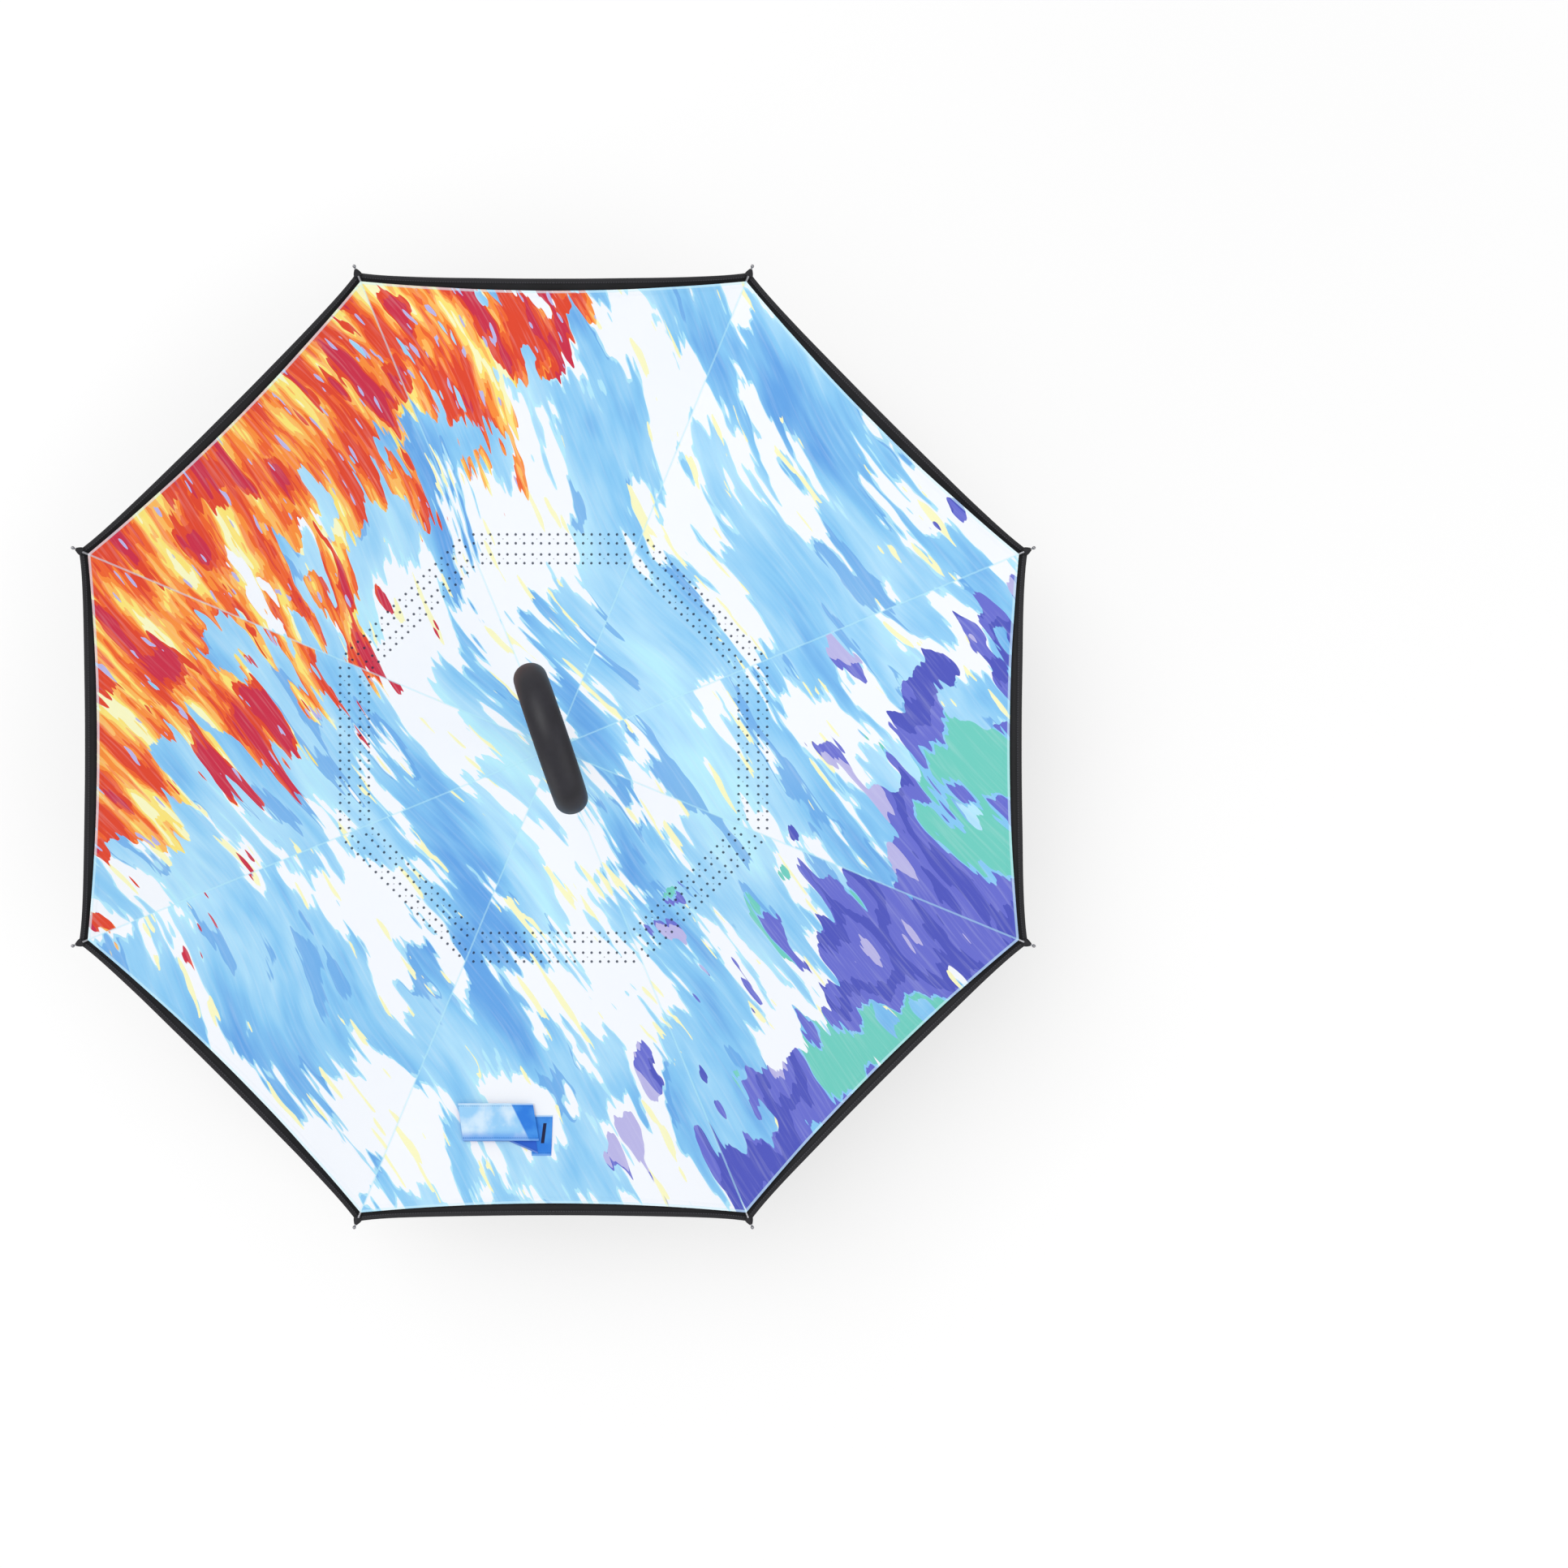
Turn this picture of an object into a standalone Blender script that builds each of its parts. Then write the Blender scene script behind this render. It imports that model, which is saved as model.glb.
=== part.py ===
# Inverted (reverse-folding) umbrella, open, handle up.
# Metres, +Z from the crown towards the handle, origin on the shaft axis at mid grip.
# Ribs stand at 22.5 degrees and every 45 from there; rib k and its two lining halves share a number.
import bmesh
import bpy
from math import atan2, cos, hypot, pi, radians, sin, sqrt, tan
from mathutils import Matrix, Vector

# Driving dimensions of the whole umbrella
RIBS = 8
STEP = 2 * pi / RIBS
HALF_STEP = STEP / 2
FIRST_RIB = HALF_STEP
GAP = 0.0003

# The linkage: ribs hinge on the sliding hub, struts hinge on the fixed crown
PIVOT_R = 0.012
RIB_CHORD = 0.566
RIB_BEND = radians(18)
RIB_OPEN = radians(20)
RIB_CLOSED = radians(-76)
HUB_Z_CLOSED = -0.075
HUB_ABOVE_CROWN = 0.024
JOINT_SHARE = 0.44
RIB_WIDTH = 0.003
RIB_HEIGHT = 0.0035
TONGUE_WIDTH = 0.0016
STRUT_WIDTH = 0.0024
STRUT_HEIGHT = 0.003
STRUT_SIDE = 0.0031

# Shaft, grip and the C-shaped handle
SHAFT_R = 0.006
SHAFT_WALL = 0.0009
SHAFT_TOP = 0.020
GRIP_R = 0.0094
GRIP_LOW = -0.032
GRIP_TOP = 0.028
RING_TURN = radians(108.8)
RING_WIDE = 0.099
RING_TALL = 0.143
RING_BAND = 0.014
RING_DEEP = 0.020
RING_CORNER = 0.0012
RING_ROUND = 0.0096
FINGER_GAP = 0.022

# Sliding runner
BORE_R = 0.0064
BODY_R = 0.01025
BODY_LOW = 0.0163
BODY_TALL = 0.0262
BELL_R = 0.0150
BELL_LOW = 0.0058
HUB_R = 0.0142
HUB_LOW = -0.0045
BUTTON_TURN = radians(-47)
BUTTON_WIDE = 0.014
BUTTON_TALL = 0.0172
BUTTON_DOWN = 0.0131
BUTTON_IN = 0.0082
BUTTON_OUT = 0.0117
BUTTON_CORNER = 0.003

# Crown, cap and ferrule
CROWN_R = 0.0142
CROWN_LOW = -0.005
CROWN_TOP = 0.004
WIRE_R = 0.0005
FERRULE_END = -0.625

# Fabric
CLOTH = 0.0008
LINING_LIFT = 0.0023
SHELL_DROP = 0.0034
TIP_ROD = 0.0114
TIP_ROD_WIDE = 0.0016
TIP_BALL = 0.0022
SHELL_SAG = 0.0050
LINING_BACK = 0.0052
LINING_SAG = 0.0105
INNER_EDGE = 0.0146

for old in list(bpy.data.objects):
    bpy.data.objects.remove(old, do_unlink=True)


# The open and closed linkage, worked out in the plane of one rib as (radius, height)
def rib_curve(share, slope=RIB_OPEN, pivot_z=0.0):
    """Point of the bowed rib at a share of its length, and the angle of its tangent."""
    bow = RIB_CHORD / 2 / sin(RIB_BEND / 2)
    turn = RIB_BEND * (share - 0.5)
    along = bow * (sin(RIB_BEND / 2) + sin(turn))
    sag = bow * (cos(turn) - cos(RIB_BEND / 2))
    r = PIVOT_R + along * cos(slope) + sag * sin(slope)
    z = pivot_z + along * sin(slope) - sag * cos(slope)
    return Vector((r, z)), slope + turn


joint_closed, _ = rib_curve(JOINT_SHARE, RIB_CLOSED, HUB_Z_CLOSED)
joint_open, _ = rib_curve(JOINT_SHARE)
STRUT_LENGTH = hypot(joint_open[0] - PIVOT_R, joint_open[1] + HUB_ABOVE_CROWN)
CROWN_Z = joint_closed[1] - sqrt(STRUT_LENGTH**2 - (joint_closed[0] - PIVOT_R) ** 2)
HUB_Z = CROWN_Z + HUB_ABOVE_CROWN
STRUT_OPEN = atan2(joint_open[1] + HUB_ABOVE_CROWN, joint_open[0] - PIVOT_R)


# Small makers
def material(name, colour, roughness, metallic=0.0):
    made = bpy.data.materials.new(name)
    made.use_nodes = True
    shader = made.node_tree.nodes["Principled BSDF"]
    shader.inputs["Base Color"].default_value = (*colour, 1.0)
    shader.inputs["Roughness"].default_value = roughness
    shader.inputs["Metallic"].default_value = metallic
    return made


def mesh_from(name, bm, smooth=True):
    bmesh.ops.remove_doubles(bm, verts=bm.verts, dist=0.000001)
    bmesh.ops.recalc_face_normals(bm, faces=bm.faces)
    mesh = bpy.data.meshes.new(name)
    bm.to_mesh(mesh)
    bm.free()
    if smooth:
        mesh.shade_smooth()
        mesh.set_sharp_from_angle(angle=radians(35))
    return mesh


def place(name, mesh, finish, origin=(0, 0, 0), turn=0.0):
    """Put a mesh made about the Z axis where it belongs, with its origin on its joint's axis."""
    obj = bpy.data.objects.new(name, mesh)
    bpy.context.scene.collection.objects.link(obj)
    if not mesh.materials:
        mesh.materials.append(finish)
    spin = Matrix.Rotation(turn, 4, "Z")
    obj.location = spin @ Vector(origin)
    obj.rotation_euler = (0, 0, turn)
    return obj


def turned(profile, steps=40):
    """A solid of revolution about Z from (radius, height) points in order round its section."""
    bm = bmesh.new()
    verts = [bm.verts.new((r, 0, z)) for r, z in profile]
    edges = [bm.edges.new(pair) for pair in zip(verts, verts[1:])]
    if all(r > 0 for r, _ in profile):
        edges.append(bm.edges.new((verts[-1], verts[0])))
    bmesh.ops.spin(
        bm,
        geom=verts + edges,
        axis=(0, 0, 1),
        cent=(0, 0, 0),
        angle=2 * pi,
        steps=steps,
        use_merge=True,
    )
    return bm


def swept(rings):
    """A closed bar through a list of equal rings of points."""
    bm = bmesh.new()
    rows = [[bm.verts.new(p) for p in ring] for ring in rings]
    count = len(rows[0])
    for low, high in zip(rows, rows[1:]):
        for i in range(count):
            j = (i + 1) % count
            bm.faces.new((low[i], low[j], high[j], high[i]))
    bm.faces.new(rows[0])
    bm.faces.new(rows[-1])
    return bm


def sheet(rows, thickness):
    """A thin closed panel over rows of points, thickened upwards along Z."""
    bm = bmesh.new()
    rise = Vector((0, 0, thickness))
    low = [[bm.verts.new(p) for p in row] for row in rows]
    high = [[bm.verts.new(p + rise) for p in row] for row in rows]
    across = len(rows[0])
    for grid in (low, high):
        for a, b in zip(grid, grid[1:]):
            for i in range(across - 1):
                bm.faces.new((a[i], a[i + 1], b[i + 1], b[i]))
    rim = [(0, i) for i in range(across)]
    rim += [(k, across - 1) for k in range(1, len(rows))]
    rim += [(len(rows) - 1, i) for i in range(across - 2, -1, -1)]
    rim += [(k, 0) for k in range(len(rows) - 2, 0, -1)]
    for here, there in zip(rim, rim[1:] + rim[:1]):
        bm.faces.new(
            (
                low[here[0]][here[1]],
                low[there[0]][there[1]],
                high[there[0]][there[1]],
                high[here[0]][here[1]],
            )
        )
    return bm


def cutter(name, mesh, turn=0.0, origin=(0, 0, 0)):
    obj = place(name, mesh, black_gloss, origin, turn)
    obj.hide_render = True
    obj.display_type = "WIRE"
    return obj


def cut(obj, tool, operation="DIFFERENCE"):
    change = obj.modifiers.new(tool.name, "BOOLEAN")
    change.object = tool
    change.operation = operation


def box(low, high):
    bm = bmesh.new()
    bmesh.ops.create_cube(bm, size=1)
    low, high = Vector(low), Vector(high)
    for v in bm.verts:
        v.co = (low + high) / 2 + Vector(a * b for a, b in zip(v.co, high - low))
    return bm


def rounded_section(wide, deep, corner):
    """Points round a rectangle with round corners, as (across, along) pairs."""
    steps = 3
    points = []
    for quarter in range(4):
        turn = quarter * pi / 2
        sx = 1 if quarter in (0, 3) else -1
        sy = 1 if quarter in (0, 1) else -1
        for i in range(steps + 1):
            a = turn + i * pi / 2 / steps
            x = sx * (wide / 2 - corner) + corner * cos(a)
            y = sy * (deep / 2 - corner) + corner * sin(a)
            points.append((x, y))
    return points


def ring_wire(radius, wire, steps=40, sides=6):
    circle = [
        (radius + wire * cos(2 * pi * i / sides), wire * sin(2 * pi * i / sides))
        for i in range(sides)
    ]
    return turned(circle, steps)


charcoal = material("charcoal_plastic", (0.045, 0.043, 0.050), 0.55)
black_gloss = material("black_gloss", (0.012, 0.012, 0.014), 0.25)
red = material("red_plastic", (0.80, 0.035, 0.030), 0.35)
steel = material("steel", (0.62, 0.63, 0.65), 0.3, 1.0)
rib_black = material("rib_black", (0.03, 0.03, 0.034), 0.4, 0.6)
lining_blue = material("printed_lining", (0.30, 0.62, 0.86), 0.7)
shell_black = material("shell_black", (0.015, 0.015, 0.018), 0.75)
strap_blue = material("strap_blue", (0.16, 0.42, 0.80), 0.7)


# Shaft: a steel tube from inside the crown to inside the grip
tube = turned(
    [
        (SHAFT_R, SHAFT_TOP),
        (SHAFT_R, CROWN_Z + CROWN_LOW + GAP),
        (SHAFT_R - SHAFT_WALL, CROWN_Z + CROWN_LOW + GAP),
        (SHAFT_R - SHAFT_WALL, SHAFT_TOP),
    ],
    24,
)
place("shaft", mesh_from("shaft", tube), steel)

# Grip: a sleeve over the top of the shaft, closed above it
SLEEVE_EASE = 0.0012
grip = turned(
    [
        (0, GRIP_TOP),
        (GRIP_R, GRIP_TOP),
        (GRIP_R, GRIP_LOW + SLEEVE_EASE),
        (GRIP_R - SLEEVE_EASE, GRIP_LOW),
        (SHAFT_R + GAP, GRIP_LOW),
        (SHAFT_R + GAP, SHAFT_TOP + GAP),
        (0, SHAFT_TOP + GAP),
    ],
    32,
)
place("grip_sleeve", mesh_from("grip_sleeve", grip), charcoal)


# C-shaped handle: a band of D-section on a long oval, open at the side for the wrist
def band_section():
    """Points round the band: flat on its inner side, half round on the outer one."""
    edge = RING_DEEP / 2
    half = []
    for i in range(3):
        a = pi - i * pi / 4
        across = RING_CORNER * (1 + cos(a)) - RING_BAND / 2
        half.append((across, edge - RING_CORNER * (1 - sin(a))))
    for i in range(5):
        a = pi / 2 - i * pi / 10
        half.append((RING_BAND / 2 - RING_ROUND * (1 - cos(a)), edge * sin(a)))
    return half + [(RING_BAND / 2, 0.0)] + [(x, -y) for x, y in reversed(half)]


HORN_EASE = ((0.0, 0.80), (0.0008, 0.94), (0.0022, 1.0))


def handle_rings():
    """The band's section at stations from one horn over the top and round to the other horn."""
    centre_z = GRIP_TOP + RING_TALL / 2
    bend = (RING_WIDE - RING_BAND) / 2
    straight = (RING_TALL - RING_BAND) / 2 - bend
    steps = 10
    path = [
        (bend, centre_z + FINGER_GAP / 2 + back, 0.0, size) for back, size in HORN_EASE
    ]
    for side in (1, -1):
        for i in range(steps + 1):
            a = i * pi / steps + (0 if side == 1 else pi)
            x = bend * cos(a)
            z = centre_z + side * straight + bend * sin(a)
            path.append((x, z, a, 1.0))
    path += [
        (bend, centre_z - FINGER_GAP / 2 - back, 2 * pi, size)
        for back, size in reversed(HORN_EASE)
    ]
    section = band_section()
    rings = []
    for x, z, a, size in path:
        ring = []
        for across, deep in section:
            reach = across * size
            ring.append(
                Vector((x + reach * cos(a), deep * size, z + reach * sin(a)))
            )
        rings.append(ring)
    return rings


NECK = 0.009
handle = place(
    "c_handle",
    mesh_from("c_handle", swept(handle_rings())),
    charcoal,
    turn=RING_TURN,
)
neck = turned(
    [
        (0, GRIP_TOP + NECK),
        (GRIP_R, GRIP_TOP + NECK),
        (GRIP_R, GRIP_TOP + GAP),
        (0, GRIP_TOP + GAP),
    ],
    32,
)
cut(handle, cutter("neck_tool", mesh_from("neck_tool", neck)), "UNION")


# Notched hubs: the crown holds the struts, the sliding hub holds the ribs, each on a ring of wire
NOTCH = TONGUE_WIDTH + 0.0008
NOTCH_IN = PIVOT_R - 0.0030
CHANNEL = WIRE_R + GAP
OVER = 0.002


def notched(name, section, outer, slot_low, slot_top, at_z):
    """A ring with a slot for each rib or strut and a round channel for its wire."""
    hub = turned([(r, at_z + z) for r, z in section], 48)
    hub = place(name, mesh_from(name, hub), black_gloss)
    for k in range(RIBS):
        slot = box(
            (NOTCH_IN, -NOTCH / 2, at_z + slot_low),
            (outer + OVER, NOTCH / 2, at_z + slot_top),
        )
        tool = cutter(
            f"{name}_slot_{k + 1}",
            mesh_from("slot", slot, False),
            FIRST_RIB + k * STEP,
        )
        cut(hub, tool)
    channel = cutter(
        f"{name}_channel",
        mesh_from("channel", ring_wire(PIVOT_R, CHANNEL)),
        origin=(0, 0, at_z),
    )
    cut(hub, channel)
    return hub


crown_section = [
    (CROWN_R, CROWN_TOP),
    (CROWN_R, CROWN_LOW),
    (SHAFT_R + GAP, CROWN_LOW),
    (SHAFT_R + GAP, CROWN_TOP),
]
CROWN_SLOT_LOW = -0.0028
notched("crown", crown_section, CROWN_R, CROWN_SLOT_LOW, CROWN_TOP + OVER, CROWN_Z)
place(
    "crown_wire",
    mesh_from("crown_wire", ring_wire(PIVOT_R, WIRE_R)),
    steel,
    (0, 0, CROWN_Z),
)

# Top catch: a collar on the shaft that the open runner comes to rest on
CATCH_R = 0.0086
CATCH_TALL = 0.007
catch_top = HUB_Z + HUB_LOW - GAP
catch = turned(
    [
        (CATCH_R, catch_top),
        (CATCH_R, catch_top - CATCH_TALL),
        (SHAFT_R + GAP, catch_top - CATCH_TALL),
        (SHAFT_R + GAP, catch_top),
    ],
    32,
)
place("top_catch", mesh_from("top_catch", catch), black_gloss)

# Cap that clamps the outer fabric under the crown, and the ferrule below it
CAP_R = 0.0175
CAP_TALL = 0.003
CAP_EDGE = 0.0008
cap_top = CROWN_Z + CROWN_LOW - GAP
cap = turned(
    [
        (0, cap_top),
        (CROWN_R, cap_top),
        (CAP_R, cap_top - CAP_EDGE),
        (CAP_R - CAP_EDGE, cap_top - CAP_TALL * 0.8),
        (CROWN_R - 4 * CAP_EDGE, cap_top - CAP_TALL),
        (0, cap_top - CAP_TALL),
    ],
    40,
)
place("canopy_cap", mesh_from("canopy_cap", cap), black_gloss)
FERRULE_R = 0.0085
FERRULE_RIM = 0.004
FERRULE_TIP_R = 0.006
FERRULE_EDGE = 0.001
ferrule_top = cap_top - CAP_TALL - GAP
ferrule = turned(
    [
        (0, ferrule_top),
        (FERRULE_R, ferrule_top),
        (FERRULE_R, ferrule_top - FERRULE_RIM),
        (FERRULE_TIP_R + FERRULE_EDGE, FERRULE_END + 6 * FERRULE_EDGE),
        (FERRULE_TIP_R, FERRULE_END + FERRULE_EDGE),
        (FERRULE_TIP_R - FERRULE_EDGE, FERRULE_END),
        (0, FERRULE_END),
    ],
    32,
)
place("ferrule", mesh_from("ferrule", ferrule), black_gloss)

# Runner: the sleeve that the hand slides, a bell-mouthed collar and the rib hub
HUB_STEP = 0.0024
HUB_NECK_R = 0.0118
hub_section = [
    (HUB_NECK_R, BELL_LOW - GAP),
    (HUB_NECK_R, HUB_STEP),
    (HUB_R, HUB_STEP),
    (HUB_R, HUB_LOW),
    (BORE_R, HUB_LOW),
    (BORE_R, BELL_LOW - GAP),
]
notched("rib_hub", hub_section, HUB_R, HUB_LOW - OVER, HUB_STEP + GAP, HUB_Z)
place(
    "rib_wire",
    mesh_from("rib_wire", ring_wire(PIVOT_R, WIRE_R)),
    steel,
    (0, 0, HUB_Z),
)


def bell_profile():
    """Outer side of the collar: a round rim, then a cone up to a round shoulder at the sleeve."""
    top = BODY_LOW - GAP
    rim = 0.0016
    shoulder_r = 0.0112
    shoulder = 0.0016
    outer = []
    for i in range(4):
        a = i * pi / 6 - pi / 3
        outer.append((BELL_R - rim * (1 - cos(a)), BELL_LOW + rim * (1 + sin(a))))
    for i in range(4):
        a = i * pi / 6
        outer.append((shoulder_r + shoulder * cos(a), top - shoulder * (1 - sin(a))))
    return outer + [(BORE_R, top), (BORE_R, BELL_LOW)]


bell = turned([(r, HUB_Z + z) for r, z in bell_profile()], 40)
place("bell_collar", mesh_from("bell_collar", bell), black_gloss)

BODY_EDGE = 0.0008
body_low = HUB_Z + BODY_LOW
body_top = body_low + BODY_TALL
sleeve = turned(
    [
        (BODY_R - BODY_EDGE, body_top),
        (BODY_R, body_top - BODY_EDGE),
        (BODY_R, body_low),
        (BORE_R, body_low),
        (BORE_R, body_top),
    ],
    40,
)
runner_body = place("runner_body", mesh_from("runner_body", sleeve), black_gloss)

# Button: a rounded key in a window of the sleeve, on a bowed leaf spring
button_z = body_top - BUTTON_DOWN


def key(inner, outer, ease):
    """A rounded rectangular bar along +X that fills the window less the given ease all round."""
    section = rounded_section(BUTTON_WIDE + 2 * ease, BUTTON_TALL + 2 * ease, BUTTON_CORNER)
    rings = [[Vector((r, y, button_z + up)) for y, up in section] for r in (inner, outer)]
    return swept(rings)


TOOL_OVER = 0.004
window = mesh_from("window_tool", key(BORE_R - TOOL_OVER, BUTTON_OUT + TOOL_OVER, GAP))
cut(runner_body, cutter("window_tool", window, BUTTON_TURN))
button = mesh_from("release_button", key(0.002, BUTTON_OUT + TOOL_OVER, 0.0))
button = place("release_button", button, red, turn=BUTTON_TURN)
face = BUTTON_TALL / 2
lip = 0.0007
shoulder = turned(
    [
        (BUTTON_IN, button_z + face),
        (BUTTON_OUT - lip, button_z + face),
        (BUTTON_OUT, button_z + face - lip),
        (BUTTON_OUT, button_z - face + lip),
        (BUTTON_OUT - lip, button_z - face),
        (BUTTON_IN, button_z - face),
    ],
    72,
)
cut(button, cutter("button_face_tool", mesh_from("shoulder", shoulder)), "INTERSECT")

LEAF_LONG = 0.014
LEAF_WIDE = 0.005
LEAF_THICK = 0.0004
LEAF_ENDS = 0.0065
LEAF_BOW = 0.0007
rings = []
for i in range(9):
    share = i / 8 * 2 - 1
    r = LEAF_ENDS + LEAF_BOW * (1 - share**2)
    z = button_z + share * LEAF_LONG / 2
    half = LEAF_WIDE / 2
    rings.append(
        [
            Vector((r, -half, z)),
            Vector((r, half, z)),
            Vector((r + LEAF_THICK, half, z)),
            Vector((r + LEAF_THICK, -half, z)),
        ]
    )
place(
    "button_spring",
    mesh_from("button_spring", swept(rings)),
    steel,
    turn=BUTTON_TURN,
)


# Ribs: a flat tongue on the wire, a bowed bar, then a bare rod with a round tip
TONGUE_LONG = 0.016
TONGUE_BACK = ((0.0020, 0.0020), (0.0012, 0.0034))
BAR_FROM = 0.12
BAR_TAPER = 0.3
CORNER_SHARE = 1 - TIP_ROD / RIB_CHORD


def rib_rings():
    """Eight-sided sections from behind the pivot to the tip of the knob."""
    pivot = Vector((PIVOT_R, HUB_Z))
    start_slope = RIB_OPEN - RIB_BEND / 2
    direction = Vector((cos(start_slope), sin(start_slope)))
    stations = []
    for back, tall in TONGUE_BACK:
        stations.append((pivot - direction * back, start_slope, TONGUE_WIDTH, tall))
    tongue = TONGUE_LONG / RIB_CHORD
    bar = [BAR_FROM + (CORNER_SHARE - BAR_FROM) * i / 7 for i in range(8)]
    shares = [tongue * 0.75, tongue] + bar
    for share in shares:
        point, slope = rib_curve(share, pivot_z=HUB_Z)
        taper = 1 - BAR_TAPER * share
        wide = TONGUE_WIDTH if share < tongue * 0.9 else RIB_WIDTH * taper
        stations.append((point, slope, wide, RIB_HEIGHT * taper))
    ball = TIP_BALL / RIB_CHORD
    for share, size in (
        (CORNER_SHARE + 0.001, TIP_ROD_WIDE),
        (1 - 2.0 * ball, TIP_ROD_WIDE),
        (1 - 1.7 * ball, TIP_BALL * 1.4),
        (1 - ball, TIP_BALL * 2),
        (1 - 0.3 * ball, TIP_BALL * 1.4),
        (1, TIP_ROD_WIDE / 2),
    ):
        point, slope = rib_curve(share, pivot_z=HUB_Z)
        stations.append((point, slope, size, size))
    rings = []
    for point, slope, wide, tall in stations:
        ring = []
        for i in range(8):
            a = (i + 0.5) * STEP
            y = wide / 2 * cos(a) / cos(HALF_STEP)
            up = tall / 2 * sin(a) / cos(HALF_STEP)
            r = point[0] - up * sin(slope)
            z = point[1] + up * cos(slope)
            ring.append(Vector((r - PIVOT_R, y, z - HUB_Z)))
        rings.append(ring)
    return rings


EYE_R = WIRE_R + GAP


def eye_tool(name, turn, z):
    """A short bar along the hinge axis, which bores the tongue for its wire."""
    bm = bmesh.new()
    bmesh.ops.create_cone(
        bm,
        cap_ends=True,
        segments=12,
        radius1=EYE_R,
        radius2=EYE_R,
        depth=0.004,
        matrix=Matrix.Rotation(pi / 2, 4, "X"),
    )
    return cutter(name, mesh_from("eye_tool", bm), turn, (PIVOT_R, 0, z))


rib_mesh = mesh_from("rib", swept(rib_rings()))
rib_mesh.materials.append(rib_black)
for k in range(RIBS):
    turn = FIRST_RIB + k * STEP
    rib = place(f"rib_{k + 1}", rib_mesh, rib_black, (PIVOT_R, 0, HUB_Z), turn)
    cut(rib, eye_tool(f"rib_eye_{k + 1}", turn, HUB_Z))


# Struts: from the crown to beside the rib, cranked sideways so that they pass it
CRANK_START = 0.010
CRANK_END = 0.022
STRUT_EYE = 0.0042
EYE_REACH = 0.0020


def strut_rings():
    """Four-sided sections from behind the pivot, past the crank, to the eye beside the rib."""
    end = STRUT_LENGTH
    stations = [
        (-EYE_REACH, 0.0, TONGUE_WIDTH, STRUT_HEIGHT * 0.6),
        (-EYE_REACH * 0.6, 0.0, TONGUE_WIDTH, STRUT_HEIGHT),
        (CRANK_START, 0.0, TONGUE_WIDTH, STRUT_HEIGHT),
        (CRANK_END, STRUT_SIDE, STRUT_WIDTH, STRUT_HEIGHT),
        (end / 2, STRUT_SIDE, STRUT_WIDTH, STRUT_HEIGHT),
        (end - 2 * EYE_REACH, STRUT_SIDE, STRUT_WIDTH, STRUT_HEIGHT),
        (end - EYE_REACH, STRUT_SIDE, STRUT_WIDTH, STRUT_EYE),
        (end + EYE_REACH, STRUT_SIDE, STRUT_WIDTH, STRUT_EYE),
        (end + 1.7 * EYE_REACH, STRUT_SIDE, STRUT_WIDTH, STRUT_EYE / 2),
    ]
    rings = []
    for along, side, wide, tall in stations:
        ring = []
        for y, up in ((-1, -1), (1, -1), (1, 1), (-1, 1)):
            r = along * cos(STRUT_OPEN) - up * tall / 2 * sin(STRUT_OPEN)
            z = along * sin(STRUT_OPEN) + up * tall / 2 * cos(STRUT_OPEN)
            ring.append(Vector((r, side + y * wide / 2, z)))
        rings.append(ring)
    return rings


strut_mesh = mesh_from("strut", swept(strut_rings()))
strut_mesh.materials.append(rib_black)
for k in range(RIBS):
    turn = FIRST_RIB + k * STEP
    strut = place(f"strut_{k + 1}", strut_mesh, rib_black, (PIVOT_R, 0, CROWN_Z), turn)
    cut(strut, eye_tool(f"strut_eye_{k + 1}", turn, CROWN_Z))


# Fabric: straight across from rib to rib, so its mid-line runs closer to the shaft than the ribs do
def lining_profile(share):
    point, slope = rib_curve(share, pivot_z=HUB_Z)
    return point + Vector((-sin(slope), cos(slope))) * LINING_LIFT


JOIN_SHARE = 0.52
JOIN_EASE = 0.0008


def shell_profile(share):
    """Outer fabric: along the struts near the crown, then along the outer ribs."""
    if share < JOINT_SHARE:
        reach = STRUT_LENGTH * share / JOINT_SHARE
        point = Vector((PIVOT_R, CROWN_Z))
        point += Vector((cos(STRUT_OPEN), sin(STRUT_OPEN))) * reach
        slope = STRUT_OPEN
    else:
        point, slope = rib_curve(share, pivot_z=HUB_Z)
    drop = SHELL_DROP - JOIN_EASE * max(0.0, share - JOIN_SHARE) / (1 - JOIN_SHARE)
    return point - Vector((-sin(slope), cos(slope))) * drop


def across_point(profile, share, side):
    """A point of the taut cloth: side runs from -1 to 1 between two ribs, 0 at the mid-line."""
    r, z = profile(share)
    return Vector((r * cos(HALF_STEP), r * sin(HALF_STEP) * side, z))


def cloth_rows(profile, start, corner, sag, sides, steps):
    """Rows of points about a panel whose mid-line lies along +X; its hem is drawn in by the sag."""
    rows = []
    for i in range(steps + 1):
        row = []
        for side in sides:
            hem = corner - sag / RIB_CHORD * (1 - side**2)
            share = start + (hem - start) * i / steps
            r = profile(share)[0]
            edge_gap = GAP / 2 / (r * sin(HALF_STEP))
            kept = max(-1 + edge_gap, min(1 - edge_gap, side))
            if side == 0 and len(sides) < 5:
                kept = edge_gap if max(sides) > 0 else -edge_gap
            row.append(across_point(profile, share, kept))
        rows.append(row)
    return rows


EDGE_EASE = 0.0012
START_LINING = (INNER_EDGE - PIVOT_R) / RIB_CHORD + 0.0008
START_SHELL = (INNER_EDGE - PIVOT_R + EDGE_EASE) / RIB_CHORD
FOLD_POINT = Vector((PIVOT_R, PIVOT_R * tan(HALF_STEP), HUB_Z))
LINING_CORNER = CORNER_SHARE - LINING_BACK / RIB_CHORD


def moved(rows, turn, origin):
    spin = Matrix.Rotation(turn, 4, "Z")
    return [[spin @ p - Vector(origin) for p in row] for row in rows]


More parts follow.
